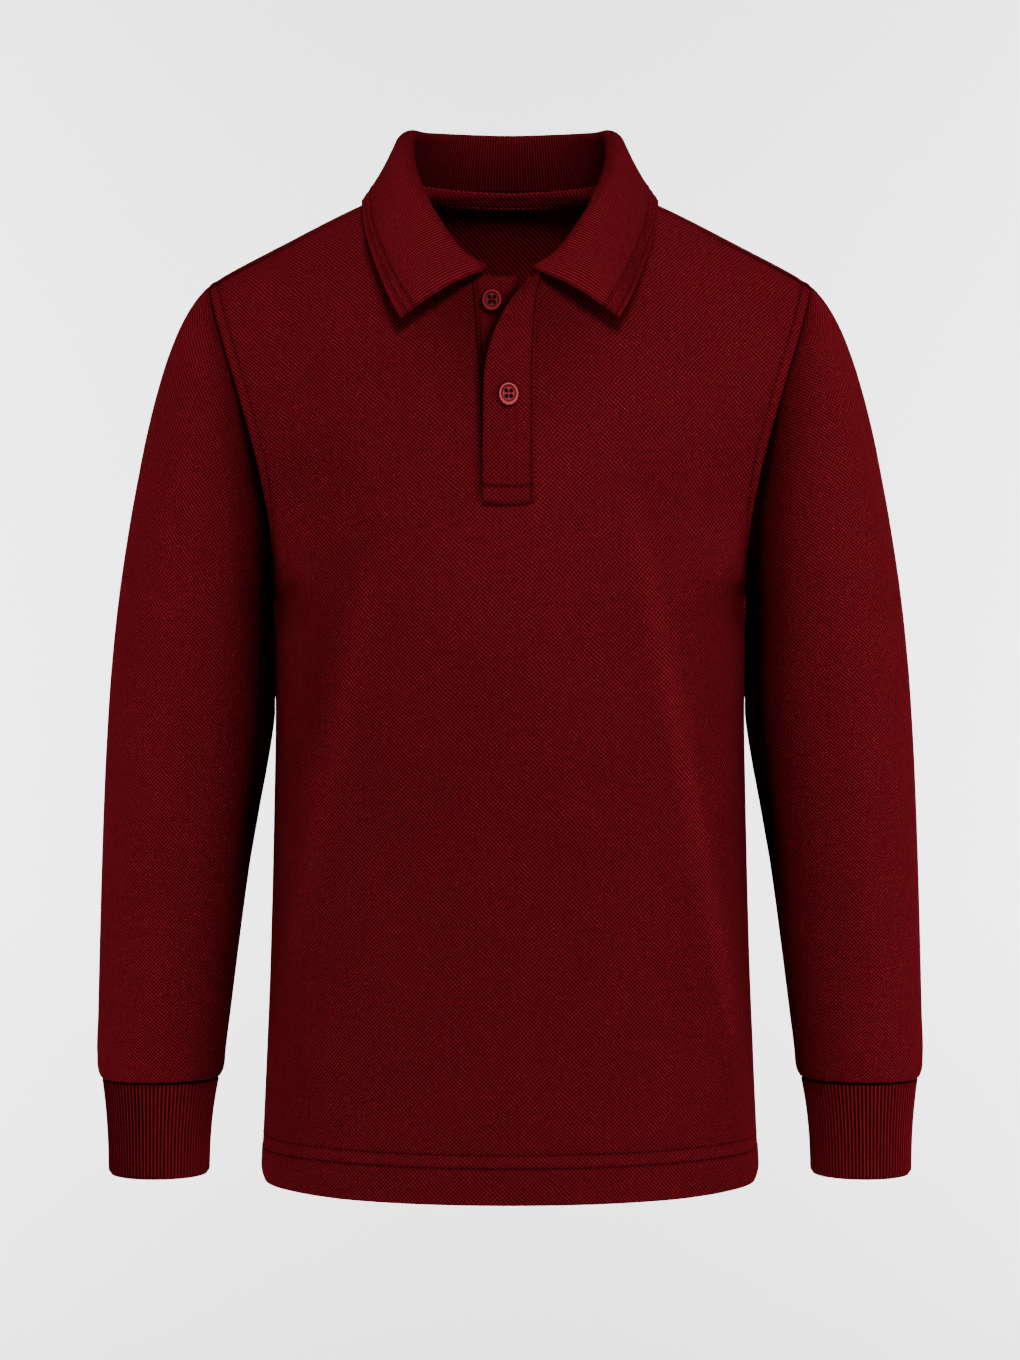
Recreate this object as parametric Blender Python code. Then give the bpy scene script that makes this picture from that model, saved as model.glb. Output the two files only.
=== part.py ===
"""A child's long-sleeve polo shirt, filled out as if worn, with nobody inside.

It is cut and sewn as the real shirt is: front, back, two sleeves with rib cuffs, a rib collar
that folds over, a two-button placket, a neck tape and two buttons. Sizes are in millimetres and
become metres where a mesh is made. The origin is the middle of the neck opening, at the height of
the shoulders' neck points. +Z is up, -Y is the front and +X is the wearer's left.
"""

import math

import bmesh
import bpy
import numpy as np

MM = 0.001
SEAM_GAP = 0.3  # between two pieces that are sewn together
CLOTH = 1.2  # the wall of the pique panels and sleeves
RIB_CLOTH = 1.5  # the wall of the collar
STRIP_CLOTH = 1.4  # a placket strip, folded double
TAPE_CLOTH = 1.0

# The torso. Heights are Z, and depths run from the side seam's plane to the middle of the cloth.
UNDERARM_HEIGHT = -207.0
SHOULDER_TIP = (158.0, -47.0)  # x and height of the seam's outer end
NECK_POINT = (64.0, 3.5)  # x and height of the seam's inner end
SHOULDER_ROUND = 100.0  # height over which the shoulder rounds over to full depth
SHOULDER_END_DROP = 1.6
SEAM_BELOW_RIDGE = 2.0  # the shoulder seam lies this far below the ridge, on the front

# height, half width
BODY_WIDTHS = (
    (-516.0, 131.0),
    (-465.0, 128.6),
    (-402.0, 126.0),
    (-340.0, 124.4),
    (-275.0, 123.3),
    (-207.0, 123.8),
)
# height, depth of the front, depth of the back
BODY_DEPTHS = (
    (-516.0, 88.0, 86.0),
    (-465.0, 87.0, 84.5),
    (-400.0, 86.0, 83.5),
    (-330.0, 87.0, 83.5),
    (-260.0, 89.5, 84.5),
    (-207.0, 91.0, 86.5),
    (-165.0, 89.0, 88.0),
    (-130.0, 84.0, 88.0),
    (-100.0, 77.5, 87.0),
    (-70.0, 69.0, 85.0),
    (-50.0, 62.6, 84.0),
    (-20.0, 54.0, 82.0),
    (11.0, 50.0, 80.7),
    (40.0, 50.0, 80.0),
)
# height, how square the section is, how steeply it meets its edge, how near to the edge the
# armhole's depth is felt
SECTION_SHAPES = (
    (-516.0, 2.08, 0.480, 12.0),
    (-400.0, 2.15, 0.470, 12.0),
    (-300.0, 2.15, 0.470, 12.0),
    (-215.0, 2.10, 0.480, 12.0),
    (-190.0, 2.20, 0.580, 9.0),
    (-165.0, 2.40, 0.800, 6.0),
    (-140.0, 2.60, 1.000, 4.0),
    (40.0, 2.60, 1.000, 3.5),
)
# The drape from the chest to the hem: height, angle round from the middle, height of the ridge
DRAPE_RIDGES = (
    (-516.0, 74.0, 0.8),
    (-450.0, 72.0, 1.8),
    (-400.0, 69.5, 2.2),
    (-350.0, 64.0, 2.6),
    (-290.0, 54.0, 2.6),
    (-233.0, 44.0, 1.8),
    (-180.0, 36.0, 0.0),
    (40.0, 36.0, 0.0),
)
DRAPE_SPREAD = 9.0  # degrees

ARMHOLE_DEPTHS = {"front": 44.0, "back": 46.0}
ARMHOLE_BOWS = {"front": 30.0, "back": 18.0}

# The neck opening, as a ring at the collar's seam
NECK_HALF_WIDTH = 64.0
NECK_FRONT = 62.0
NECK_BACK = 54.0
NECK_FRONT_HEIGHT = -50.0
NECK_BACK_HEIGHT = 11.0

# The columns of a panel from its middle to its edge, as shares of the half width. The first of
# them end on the neckline, at these angles round from the middle of the front.
NECK_COLUMNS = (0.0, 0.10, 0.195, 0.28, 0.345, 0.39, 0.43)
FRONT_NECK_ANGLES = (0.0, 16.0, 32.0, 47.0, 60.0, 71.0, 80.0)
BACK_NECK_ANGLES = (180.0, 165.0, 150.0, 135.0, 119.0, 102.0, 80.0)
SIDE_COLUMNS = 10
EASING_PASSES = 3
LOWER_ROWS = (-516.0, -490.0, -455.0, -410.0, -365.0, -320.0, -275.0, -240.0)
ARMHOLE_STEPS = 12  # from the underarm to the shoulder tip, as on a sleeve's first ring
UPPER_ROWS = tuple((1.0 - math.cos(math.pi * i / ARMHOLE_STEPS)) / 2 for i in range(ARMHOLE_STEPS + 1))

# The placket: a slot in the front, with one strip in it and one strip over it
SLOT_FOOT = 0.285  # share of the height from the underarm to the neckline
SLOT_SHIFTS = (-1.8, -3.6)  # sideways, at the slot's foot and at the neckline
SLOT_REACH = 3.4  # columns away from the middle at which the shift has died away
# share of the height from the underarm to the neckline, free edge, sewn edge
OVER_STRIP = (
    (0.248, -13.6, 12.4),
    (0.55, -13.5, 12.4),
    (0.70, -12.4, 12.6),
    (0.80, -8.7, 13.2),
    (0.88, -3.4, 14.2),
    (0.94, 2.4, 15.4),
    (0.985, 8.6, 17.5),
)
OVER_STRIP_LIFT = 5.0  # how far the open top corner of the strip stands off
UNDER_STRIP_WIDTH = 23.5
TAPE_WIDTH = 10.0

# The collar: a row for each section from the middle of the back to the front end, with the angle
# round the neck seam, the top of the fold (x, y, z), the outer edge (x, y, z) and how far the fall
# bellies out between them
COLLAR_SECTIONS = (
    (180.0, (0.0, 57.5, 40.8), (0.0, 72.0, 0.0), 2.0),
    (150.0, (27.5, 52.0, 40.8), (36.5, 65.0, 0.0), 2.0),
    (125.0, (44.5, 35.0, 39.8), (61.5, 46.5, -0.5), 0.5),
    (102.0, (52.5, 13.0, 36.5), (76.0, 17.0, -1.0), -2.0),
    (82.0, (52.5, -2.5, 24.0), (77.0, -14.0, -6.0), -0.5),
    (62.0, (46.5, -17.5, 3.5), (73.5, -41.0, -27.0), 2.5),
    (42.0, (35.5, -38.5, -18.5), (67.0, -57.0, -47.0), 3.2),
    (24.0, (23.5, -54.5, -36.5), (61.0, -67.0, -61.5), 2.4),
    (11.0, (12.0, -64.5, -46.0), (54.9, -72.0, -72.7), 2.0),
)
COLLAR_BASE_LIFT = 1.6  # the collar's seam edge lies this far over the neckline
COLLAR_STATIONS = 40
COLLAR_ROLL = 2.2  # radius of the fold
COLLAR_FALL_POINTS = 4

# The sleeves: a row for each ring from the armhole to the cuff, with the point nearest to the
# body (x, z), the point farthest from it (x, z), the ring's middle (y) and its half depth
SLEEVE_RINGS = (
    ((124.9, -211.5), (165.3, -55.0), 0.0, 46.0),
    ((124.9, -216.5), (172.3, -67.0), -0.5, 47.5),
    ((124.9, -222.5), (179.2, -84.0), -1.0, 48.0),
    ((125.0, -229.5), (185.3, -104.0), -1.5, 48.0),
    ((125.0, -237.5), (190.7, -126.0), -2.0, 47.5),
    ((125.1, -247.0), (195.5, -150.0), -2.5, 46.5),
    ((125.2, -258.5), (200.2, -177.0), -3.0, 45.0),
    ((125.6, -273.0), (204.6, -207.0), -4.0, 43.5),
    ((128.3, -296.0), (208.6, -245.0), -5.0, 42.0),
    ((132.6, -325.0), (211.4, -290.0), -6.5, 40.0),
    ((137.4, -357.0), (213.2, -338.0), -8.0, 38.0),
    ((142.2, -394.0), (214.4, -386.0), -9.5, 36.0),
    ((146.6, -430.0), (215.2, -428.0), -11.0, 33.5),
    ((149.1, -450.0), (215.6, -450.0), -12.0, 31.7),
    ((150.0, -457.5), (214.9, -458.0), -12.3, 30.6),
    ((151.6, -461.5), (213.2, -462.0), -12.5, 29.0),
)
SLEEVE_COLUMNS = 2 * ARMHOLE_STEPS
SLEEVE_SQUARENESS = 2.15
BOW_FADE_RINGS = 3  # the armhole's inward bow has gone this many rings down the sleeve

# The cuffs: height, point nearest to the body, point farthest from it, half depth
CUFF_RINGS = (
    (-462.6, 152.2, 212.9, 28.4),
    (-477.0, 154.7, 210.9, 26.4),
    (-513.0, 156.9, 209.7, 24.8),
)
CUFF_MIDDLE = -12.6
CUFF_RIBS = 90
RIB_HEIGHT = 0.7
CUFF_CLOTH = 1.3  # the plain wall under the ribs

# The buttons: middle of the front view (x, z), and which strip carries it
BUTTONS = {
    "button_top": (-9.2, -63.4, "under"),
    "button_lower": (-0.7, -112.0, "over"),
}
BUTTON_HOLE_RADIUS = 0.75
BUTTON_HOLE_SPACING = 1.25  # from the middle, along both axes
# The turned profile of a button: radius, height over the cloth
BUTTON_PROFILE = (
    (0.0, 0.4),
    (4.6, 0.4),
    (5.7, 1.1),
    (5.7, 1.7),
    (5.2, 2.3),
    (4.4, 2.4),
    (3.7, 1.9),
    (3.2, 1.5),
    (0.0, 1.4),
)
BUTTON_SIDES = 24

BURGUNDY = (0.130, 0.004, 0.010, 1.0)
BUTTON_PINK = (0.300, 0.035, 0.055, 1.0)


# ---------------------------------------------------------------- small tools


def column(table, value, index):
    """A column of a table at one height, read on straight lines between the rows."""
    return np.interp(value, [row[0] for row in table], [row[index] for row in table])


def smooth_between(rows, at):
    """A point of the smooth curve through the rows, at a place counted in rows."""
    last = len(rows) - 1
    start = min(int(at), last - 1)
    t = at - start
    b, c = rows[start], rows[start + 1]
    # The first row is the middle of the back, so the row before it mirrors the one after it.
    a = rows[start - 1] if start else rows[1] * np.array([-1.0, 1.0, 1.0])
    d = rows[start + 2] if start + 2 <= last else 2.0 * c - b
    return 0.5 * (
        2.0 * b + (c - a) * t + (2 * a - 5 * b + 4 * c - d) * t**2 + (3 * b - a - 3 * c + d) * t**3
    )


def unit(vector):
    return vector / np.linalg.norm(vector)


def mirrored(grid):
    """The other half of a symmetric piece."""
    return grid * np.array([-1.0, 1.0, 1.0])


def normals_of(grid, closed=False):
    """The outward direction at each point of a grid of rows that run round or across."""
    if closed:
        across = np.roll(grid, -1, axis=1) - np.roll(grid, 1, axis=1)
    else:
        across = np.gradient(grid, axis=1)
    along = np.gradient(grid, axis=0)
    found = np.cross(across, along)
    return found / np.linalg.norm(found, axis=2, keepdims=True)


def material(name, color, roughness):
    made = bpy.data.materials.new(name)
    made.use_nodes = True
    shader = made.node_tree.nodes["Principled BSDF"]
    shader.inputs["Base Color"].default_value = color
    shader.inputs["Roughness"].default_value = roughness
    shader.inputs["Metallic"].default_value = 0.0
    return made


def object_from(name, points, faces, color, roughness):
    """A named object with its own material, from points in millimetres."""
    mesh = bpy.data.meshes.new(name)
    mesh.from_pydata([tuple(p * MM) for p in points], [], faces)
    mesh.shade_smooth()
    mesh.set_sharp_from_angle(angle=math.radians(50))
    mesh.materials.append(material(name, color, roughness))
    made = bpy.data.objects.new(name, mesh)
    bpy.context.scene.collection.objects.link(made)
    return made


def sheet(name, grid, cloth, closed=False, left_out=None):
    """A wall of cloth on a grid of outer points, with its thickness to the inside and crisp cut edges."""
    rows, columns = grid.shape[:2]
    faces = []
    for r in range(rows - 1):
        for c in range(columns if closed else columns - 1):
            if left_out and left_out(r, c):
                continue
            n = (c + 1) % columns
            faces.append((r * columns + c, r * columns + n, (r + 1) * columns + n, (r + 1) * columns + c))
    used = sorted({i for face in faces for i in face})
    order = {old: new for new, old in enumerate(used)}
    faces = [tuple(order[i] for i in face) for face in faces]
    points = grid.reshape(-1, 3)[used]
    made = object_from(name, points, faces, BURGUNDY, 0.9)
    wall = made.modifiers.new("cloth", "SOLIDIFY")
    wall.thickness = cloth * MM
    wall.offset = -1.0
    thick = bpy.data.meshes.new_from_object(made.evaluated_get(bpy.context.evaluated_depsgraph_get()))
    made.modifiers.clear()
    made.data = thick
    thick.name = name
    thick.set_sharp_from_angle(angle=math.radians(50))
    return made


# ---------------------------------------------------------------- torso


def ridge_height(x):
    """The height of the shoulder's ridge, drawn on over the neck as a straight line."""
    slope = (SHOULDER_TIP[1] + SHOULDER_END_DROP - NECK_POINT[1]) / (SHOULDER_TIP[0] - NECK_POINT[0])
    end = np.clip((x - 130.0) / (SHOULDER_TIP[0] - 130.0), 0.0, 1.2)
    return NECK_POINT[1] + slope * (x - NECK_POINT[0]) - SHOULDER_END_DROP * end**4


def armhole_share(height):
    """0 at the underarm and 1 at the shoulder tip."""
    return np.clip((height - UNDERARM_HEIGHT) / (SHOULDER_TIP[1] - UNDERARM_HEIGHT), 0.0, 1.0)


def armhole_bow(side, share):
    return ARMHOLE_BOWS[side] * share**0.75 * (1.0 - share) ** 1.4


def edge_width(side, height):
    """The half width of a panel: at the side seam, and above the underarm at the armhole."""
    if height <= UNDERARM_HEIGHT:
        return column(BODY_WIDTHS, height, 1)
    share = armhole_share(height)
    straight = BODY_WIDTHS[-1][1] + (SHOULDER_TIP[0] - BODY_WIDTHS[-1][1]) * share
    return straight - armhole_bow(side, share)


def armhole_depth(side, height, top):
    """The armhole's own depth, carried across the panel under a ridge of this height."""
    share = np.clip((height - UNDERARM_HEIGHT) / (top - UNDERARM_HEIGHT), 0.0, 1.0)
    return ARMHOLE_DEPTHS[side] * 2.0 * math.sqrt(share * (1.0 - share))


def torso_point(side, share, height):
    """The outer surface of the right half, at a share of the half width and a height."""
    width = edge_width(side, height)
    x = share * width
    below = np.clip((ridge_height(x) - height) / SHOULDER_ROUND, 0.0, 1.0)
    rounding = math.sqrt(1.0 - (1.0 - below) ** 2)
    middle = column(BODY_DEPTHS, height, 1 if side == "front" else 2) * rounding
    squareness, steepness, edge_reach = (column(SECTION_SHAPES, height, i) for i in (1, 2, 3))
    edge = armhole_depth(side, height, ridge_height(x)) * share**edge_reach
    depth = edge + middle * max(0.0, 1.0 - share**squareness) ** steepness
    facing = -1.0 if side == "front" else 1.0
    point = np.array([x, facing * (depth + SEAM_GAP / 2), height])
    ridge = column(DRAPE_RIDGES, height, 2)
    off = (math.degrees(math.asin(share)) - column(DRAPE_RIDGES, height, 1)) / DRAPE_SPREAD
    outward = unit(np.array([x / width**2, facing * depth / max(middle, 1.0) ** 2, 0.0]) + 1e-9)
    fading = 1.0 - share**8
    return point + outward * ridge * fading * math.exp(-(off**2))


def neck_point(angle):
    """A point of the neck seam, at degrees round from the middle of the front."""
    turn = math.radians(angle)
    forward = math.cos(turn)
    drop = NECK_POINT[1] - NECK_FRONT_HEIGHT
    if forward > 0.0:
        y, z = -NECK_FRONT * forward, NECK_POINT[1] - drop * forward**1.5
    else:
        y, z = -NECK_BACK * forward, NECK_POINT[1] + (NECK_BACK_HEIGHT - NECK_POINT[1]) * abs(forward)
    return np.array([NECK_HALF_WIDTH * math.sin(turn), y, z])


def panel_columns():
    """Shares of the half width, closer together where the side turns away."""
    first = math.asin(NECK_COLUMNS[-1])
    turns = np.linspace(first, math.pi / 2, SIDE_COLUMNS + 1)[1:]
    return list(NECK_COLUMNS) + [math.sin(turn) for turn in turns]


def column_top(side, index, share):
    """Where a column of a panel ends, on the neckline or on the shoulder seam."""
    angles = FRONT_NECK_ANGLES if side == "front" else BACK_NECK_ANGLES
    if index < len(angles) - 1:
        return neck_point(angles[index])[2]
    return ridge_height(share * SHOULDER_TIP[0])


def panel_half(side):
    """The grid of a panel's right half, with rows from the hem up and columns from the middle."""
    angles = FRONT_NECK_ANGLES if side == "front" else BACK_NECK_ANGLES
    neck_end = len(angles) - 1
    columns = []
    for index, share in enumerate(panel_columns()):
        top = column_top(side, index, share)
        points = [torso_point(side, share, height) for height in LOWER_ROWS]
        rise = top - UNDERARM_HEIGHT
        upper = [torso_point(side, share, UNDERARM_HEIGHT + rise * row) for row in UPPER_ROWS]
        rows = list(UPPER_ROWS)
        if side == "front" and index >= neck_end:
            upper[-1] = torso_point(side, share, top - SEAM_BELOW_RIDGE)
        if side == "back":
            # The back runs over the ridge, to the shoulder seam on the front.
            for part in (0.35, 1.0):
                if index < neck_end:
                    upper.append(torso_point(side, share, top + 2.0 * part))
                else:
                    upper.append(torso_point("front", share, top - SEAM_BELOW_RIDGE * part))
                    upper[-1][1] += SEAM_GAP
                rows.append(1.0 + 0.02 * part)
        # The cloth bends to meet the neck seam, and the bend dies away along the shoulder.
        if index <= neck_end:
            miss = neck_point(angles[index]) - upper[-1]
        if side == "back" and index == neck_end:
            miss += np.array([0.0, SEAM_GAP, SEAM_GAP])
        reach = max(0.0, 1.0 - max(0.0, share - NECK_COLUMNS[-1]) / 0.2)
        for point, row in zip(upper, rows):
            point += miss * reach**2 * (row / rows[-1]) ** 5
        columns.append(points + upper)
    return np.array(columns).transpose(1, 0, 2)


def eased(half):
    """The back's right half with its depths evened out below the corner of the neck opening."""
    first, last = len(LOWER_ROWS) + 2, half.shape[0] - 6
    for _ in range(EASING_PASSES):
        for c in range(len(NECK_COLUMNS) - 4, len(NECK_COLUMNS) + 4):
            before, here, after = (half[first:last, i] for i in (c - 1, c, c + 1))
            part = (here[:, 0] - before[:, 0]) / (after[:, 0] - before[:, 0])
            here[:, 1] += 0.5 * (before[:, 1] + (after[:, 1] - before[:, 1]) * part - here[:, 1])
    return half


def whole_panel(side):
    """Both halves, with columns from the wearer's right to the wearer's left as seen from the front."""
    half = panel_half(side) if side == "front" else eased(panel_half(side))
    grid = np.concatenate([mirrored(half)[:, :0:-1], half], axis=1)
    return grid if side == "front" else grid[:, ::-1]


def foot_row():
    """The row of the front that the slot stops at."""
    return len(LOWER_ROWS) + int(np.searchsorted(UPPER_ROWS, SLOT_FOOT))


def with_foot_row(grid):
    """The front with a row more, on straight lines between its neighbours, at the slot's foot."""
    above = foot_row()
    low, high = UPPER_ROWS[above - len(LOWER_ROWS) - 1], UPPER_ROWS[above - len(LOWER_ROWS)]
    part = (SLOT_FOOT - low) / (high - low)
    return np.insert(grid, above, grid[above - 1] * (1.0 - part) + grid[above] * part, axis=0)


def slanted_to_the_placket(grid):
    """The front with its middle columns moved sideways, as the open placket pulls them."""
    foot = foot_row()
    middle = grid.shape[1] // 2
    moved = grid.copy()
    for r in range(grid.shape[0]):
        up = (r - foot) / (grid.shape[0] - 1 - foot)
        shift = np.interp(up, (-0.6, 0.0, 1.0), (0.0, *SLOT_SHIFTS))
        for c in range(grid.shape[1]):
            away = abs(c - middle)
            moved[r, c, 0] += shift * max(0.0, 1.0 - away / SLOT_REACH)
    return moved


def build_front(grid):
    foot = foot_row()
    middle = grid.shape[1] // 2
    return sheet("front", grid, CLOTH, left_out=lambda r, c: r >= foot and c in (middle - 1, middle))


# ---------------------------------------------------------------- placket and tape


def front_rows():
    """The shares of the front's rows, from the underarm to the neckline."""
    return sorted((*UPPER_ROWS, SLOT_FOOT))


def between_rows(grid, places, at):
    """One row more of a grid, on straight lines between the rows at these places."""
    columns = grid.transpose(1, 2, 0)
    return np.array([[np.interp(at, places, line) for line in column] for column in columns])


def row_of(grid, share):
    """A row of the front at a share of the height from the underarm to the neckline."""
    return between_rows(grid[len(LOWER_ROWS) :], front_rows(), share)


def across(row, xs):
    """Points at these x along a row."""
    return np.array([xs, np.interp(xs, row[:, 0], row[:, 1]), np.interp(xs, row[:, 0], row[:, 2])]).T


def strip_rows(first, last):
    return [first] + [row for row in front_rows() if first + 0.01 < row < last - 0.005] + [last]


def over_strip_grid(grid):
    """The strip over the slot: the front's own points, moved out, with its open corner lifted."""
    made = []
    for row in strip_rows(OVER_STRIP[0][0], OVER_STRIP[-1][0]):
        free, sewn = column(OVER_STRIP, row, 1), column(OVER_STRIP, row, 2)
        points = across(row_of(grid, row), np.linspace(free, sewn, 7))
        open_share = max(0.0, (row - 0.6) / 0.4) ** 2
        for c, point in enumerate(points):
            point[1] -= OVER_STRIP_LIFT * open_share * (1.0 - c / 6.0) ** 2
        made.append(points)
    made = np.array(made)
    return made + normals_of(made) * (SEAM_GAP + 0.15 + STRIP_CLOTH)


def under_strip_grid(grid):
    """The strip in the slot, level with the front and sewn to the slot's left side."""
    middle = grid.shape[1] // 2
    made = []
    for row in strip_rows(SLOT_FOOT + 0.005, 1.0):
        points = row_of(grid, row)
        left = points[middle - 1, 0] + SEAM_GAP + 0.15
        made.append(across(points, np.linspace(left, left + UNDER_STRIP_WIDTH, 6)))
    return np.array(made)


def build_tape(back):
    """The neck tape, on the inside of the back just below the collar's seam."""
    middle = back.shape[1] // 2
    reach = len(NECK_COLUMNS) - 3
    inner = back - normals_of(back) * (CLOTH + 2 * SEAM_GAP)
    made = []
    for c in range(middle - reach, middle + reach + 1):
        line = inner[:, c]
        down = np.concatenate([[0.0], np.cumsum(np.linalg.norm(np.diff(line[::-1], axis=0), axis=1))])
        places = np.linspace(TAPE_WIDTH + 0.6, 0.6, 3)
        made.append([[np.interp(place, down, line[::-1, k]) for k in range(3)] for place in places])
    return sheet("neck_tape", np.array(made).transpose(1, 0, 2), TAPE_CLOTH)


# ---------------------------------------------------------------- collar


def collar_section(base, fold, edge, bow):
    """The middle of the cloth from the neck seam, up the stand, over the fold and down the fall."""
    to_base, to_edge = unit(base - fold), unit(edge - fold)
    up = -unit(to_base + to_edge)
    outward = unit(to_edge - up * to_edge.dot(up))
    radius = min(COLLAR_ROLL, 0.35 * np.linalg.norm(base - fold))
    turn = fold - up * radius
    inner, outer = turn - outward * radius, turn + outward * radius
    points = [base, (base + inner) / 2, inner, fold, outer]
    belly = unit(outward + up)
    for i in range(1, COLLAR_FALL_POINTS + 1):
        share = i / COLLAR_FALL_POINTS
        points.append(outer + (edge - outer) * share + belly * bow * math.sin(math.pi * share))
    return points


def collar_half():
    angles, folds, edges, bows = (np.array(values) for values in zip(*COLLAR_SECTIONS))
    bases = np.array([neck_point(angle) + np.array([0.0, 0.0, COLLAR_BASE_LIFT]) for angle in angles])
    half = []
    for at in np.linspace(0.0, len(angles) - 1, COLLAR_STATIONS // 2 + 1):
        base, fold, edge = (smooth_between(rows, at) for rows in (bases, folds, edges))
        half.append(collar_section(base, fold, edge, np.interp(at, range(len(bows)), bows)))
    return np.array(half)


def build_collar():
    half = collar_half()
    stations = np.concatenate([half[:0:-1], mirrored(half)], axis=0)
    grid = stations.transpose(1, 0, 2)
    grid = grid + normals_of(grid) * RIB_CLOTH / 2
    return sheet("collar", grid, RIB_CLOTH)


# ---------------------------------------------------------------- sleeves and cuffs


def rounded(turn, squareness):
    """Cosine and sine of a slightly squared circle."""
    c, s = math.cos(turn), math.sin(turn)
    size = (abs(c) ** squareness + abs(s) ** squareness) ** (-1.0 / squareness)
    return c * size, s * size


def armhole_ring(turns, onward):
    """The first ring of a sleeve, on the panels' edges, a seam's gap towards the next ring."""
    ring = []
    for turn in turns:
        share = (1.0 + math.cos(turn)) / 2
        height = UNDERARM_HEIGHT + (SHOULDER_TIP[1] - UNDERARM_HEIGHT) * share
        side = "front" if math.sin(turn) > 0 else "back"
        depth = ARMHOLE_DEPTHS[side] * math.sin(turn)
        ring.append(np.array([edge_width(side, height), -depth, height]))
    apart = np.array([2 * SEAM_GAP, 0.0, 0.0])
    return np.array([p + unit(q - p) * SEAM_GAP + apart for p, q in zip(ring, onward)])


def sleeve_grid():
    """The left sleeve, ring by ring from the armhole down."""
    turns = [2 * math.pi * i / SLEEVE_COLUMNS for i in range(SLEEVE_COLUMNS)]
    rings = []
    for index, (near, far, middle, depth) in enumerate(SLEEVE_RINGS, start=1):
        near, far = np.array(near), np.array(far)
        bow = max(0.0, 1.0 - index / BOW_FADE_RINGS) ** 2
        settled = min(1.0, index / BOW_FADE_RINGS)
        ring = []
        for turn in turns:
            along, out = rounded(turn, 2.0 + (SLEEVE_SQUARENESS - 2.0) * settled)
            x, z = (near + far) / 2 + (far - near) / 2 * along
            side = "front" if math.sin(turn) > 0 else "back"
            share = (1.0 + math.cos(turn)) / 2
            ring.append([x - bow * armhole_bow(side, share), middle - depth * out, z])
        rings.append(np.array(ring))
    return np.array([armhole_ring(turns, rings[0])] + rings)


def build_sleeves():
    grid = sleeve_grid()
    sheet("sleeve_left", grid, CLOTH, closed=True)
    sheet("sleeve_right", mirrored(grid)[:, ::-1], CLOTH, closed=True)


def cuff_ring(height, near, far, depth, count, out):
    """Points round a cuff, moved out by the given distances in turn."""
    points = []
    for i in range(count):
        turn = 2 * math.pi * i / count
        move = out[i % len(out)]
        x = (near + far) / 2 + ((far - near) / 2 + move) * math.cos(turn)
        y = CUFF_MIDDLE - (depth + move) * math.sin(turn)
        points.append([x, y, height])
    return points


def build_cuff(name, flip):
    """Ribs raised on the outer points, over a plain inside with one point for each rib."""
    outer_count, inner_count = 2 * CUFF_RIBS, CUFF_RIBS
    outer = [cuff_ring(*row, outer_count, (0.0, -RIB_HEIGHT)) for row in CUFF_RINGS]
    inner = [cuff_ring(*row, inner_count, (-RIB_HEIGHT - CUFF_CLOTH,)) for row in CUFF_RINGS]
    points = np.array([p for ring in outer for p in ring] + [p for ring in inner for p in ring])
    inner_start = len(CUFF_RINGS) * outer_count
    faces = []
    for r in range(len(CUFF_RINGS) - 1):
        for c in range(outer_count):
            n = (c + 1) % outer_count
            a, b = r * outer_count, (r + 1) * outer_count
            faces.append((a + c, a + n, b + n, b + c))
        for c in range(inner_count):
            n = (c + 1) % inner_count
            a, b = inner_start + r * inner_count, inner_start + (r + 1) * inner_count
            faces.append((a + c, b + c, b + n, a + n))
    last = len(CUFF_RINGS) - 1
    for c in range(inner_count):
        n = (c + 1) % inner_count
        for ring, turned in ((0, True), (last, False)):
            o, i = ring * outer_count, inner_start + ring * inner_count
            rim = (o + 2 * c, o + 2 * c + 1, o + 2 * n, i + n, i + c)
            faces.append(rim[::-1] if turned else rim)
    if flip:
        points = mirrored(points)
        faces = [face[::-1] for face in faces]
    return object_from(name, points, faces, BURGUNDY, 0.9)


# ---------------------------------------------------------------- buttons


def turned_button():
    """A button about the Z axis, its back at the origin's height."""
    bm = bmesh.new()
    ring = [bm.verts.new((radius, 0.0, height)) for radius, height in BUTTON_PROFILE]
    edges = [bm.edges.new(pair) for pair in zip(ring, ring[1:])]
    bmesh.ops.spin(
        bm, geom=ring + edges, axis=(0, 0, 1), cent=(0, 0, 0), angle=2 * math.pi, steps=BUTTON_SIDES
    )
    bmesh.ops.remove_doubles(bm, verts=bm.verts, dist=1e-4)
    bmesh.ops.recalc_face_normals(bm, faces=bm.faces)
    return bm


def hole_cutter():
    """Four pins, for the holes of a button."""
    bm = bmesh.new()
    for x in (-BUTTON_HOLE_SPACING, BUTTON_HOLE_SPACING):
        for y in (-BUTTON_HOLE_SPACING, BUTTON_HOLE_SPACING):
            size = {"radius1": BUTTON_HOLE_RADIUS, "radius2": BUTTON_HOLE_RADIUS, "depth": 8.0}
            pin = bmesh.ops.create_cone(bm, cap_ends=True, segments=8, **size)
            bmesh.ops.translate(bm, verts=pin["verts"], vec=(x, y, 1.0))
    return bm


def frame_at(grid, x, height):
    """The point of a strip nearest to a place in the front view, and its outward direction."""
    away = np.hypot(grid[:, :, 0] - x, grid[:, :, 2] - height)
    normals = normals_of(grid)
    weights = 1.0 / (away + 0.5) ** 4
    weights /= weights.sum()
    normal = unit((normals * weights[:, :, None]).sum(axis=(0, 1)))
    near = grid.reshape(-1, 3)[away.argmin()]
    # The button's own place lies on the plane through the nearest point.
    y = near[1] - (normal[0] * (x - near[0]) + normal[2] * (height - near[2])) / normal[1]
    return np.array([x, y, height]), normal


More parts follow.
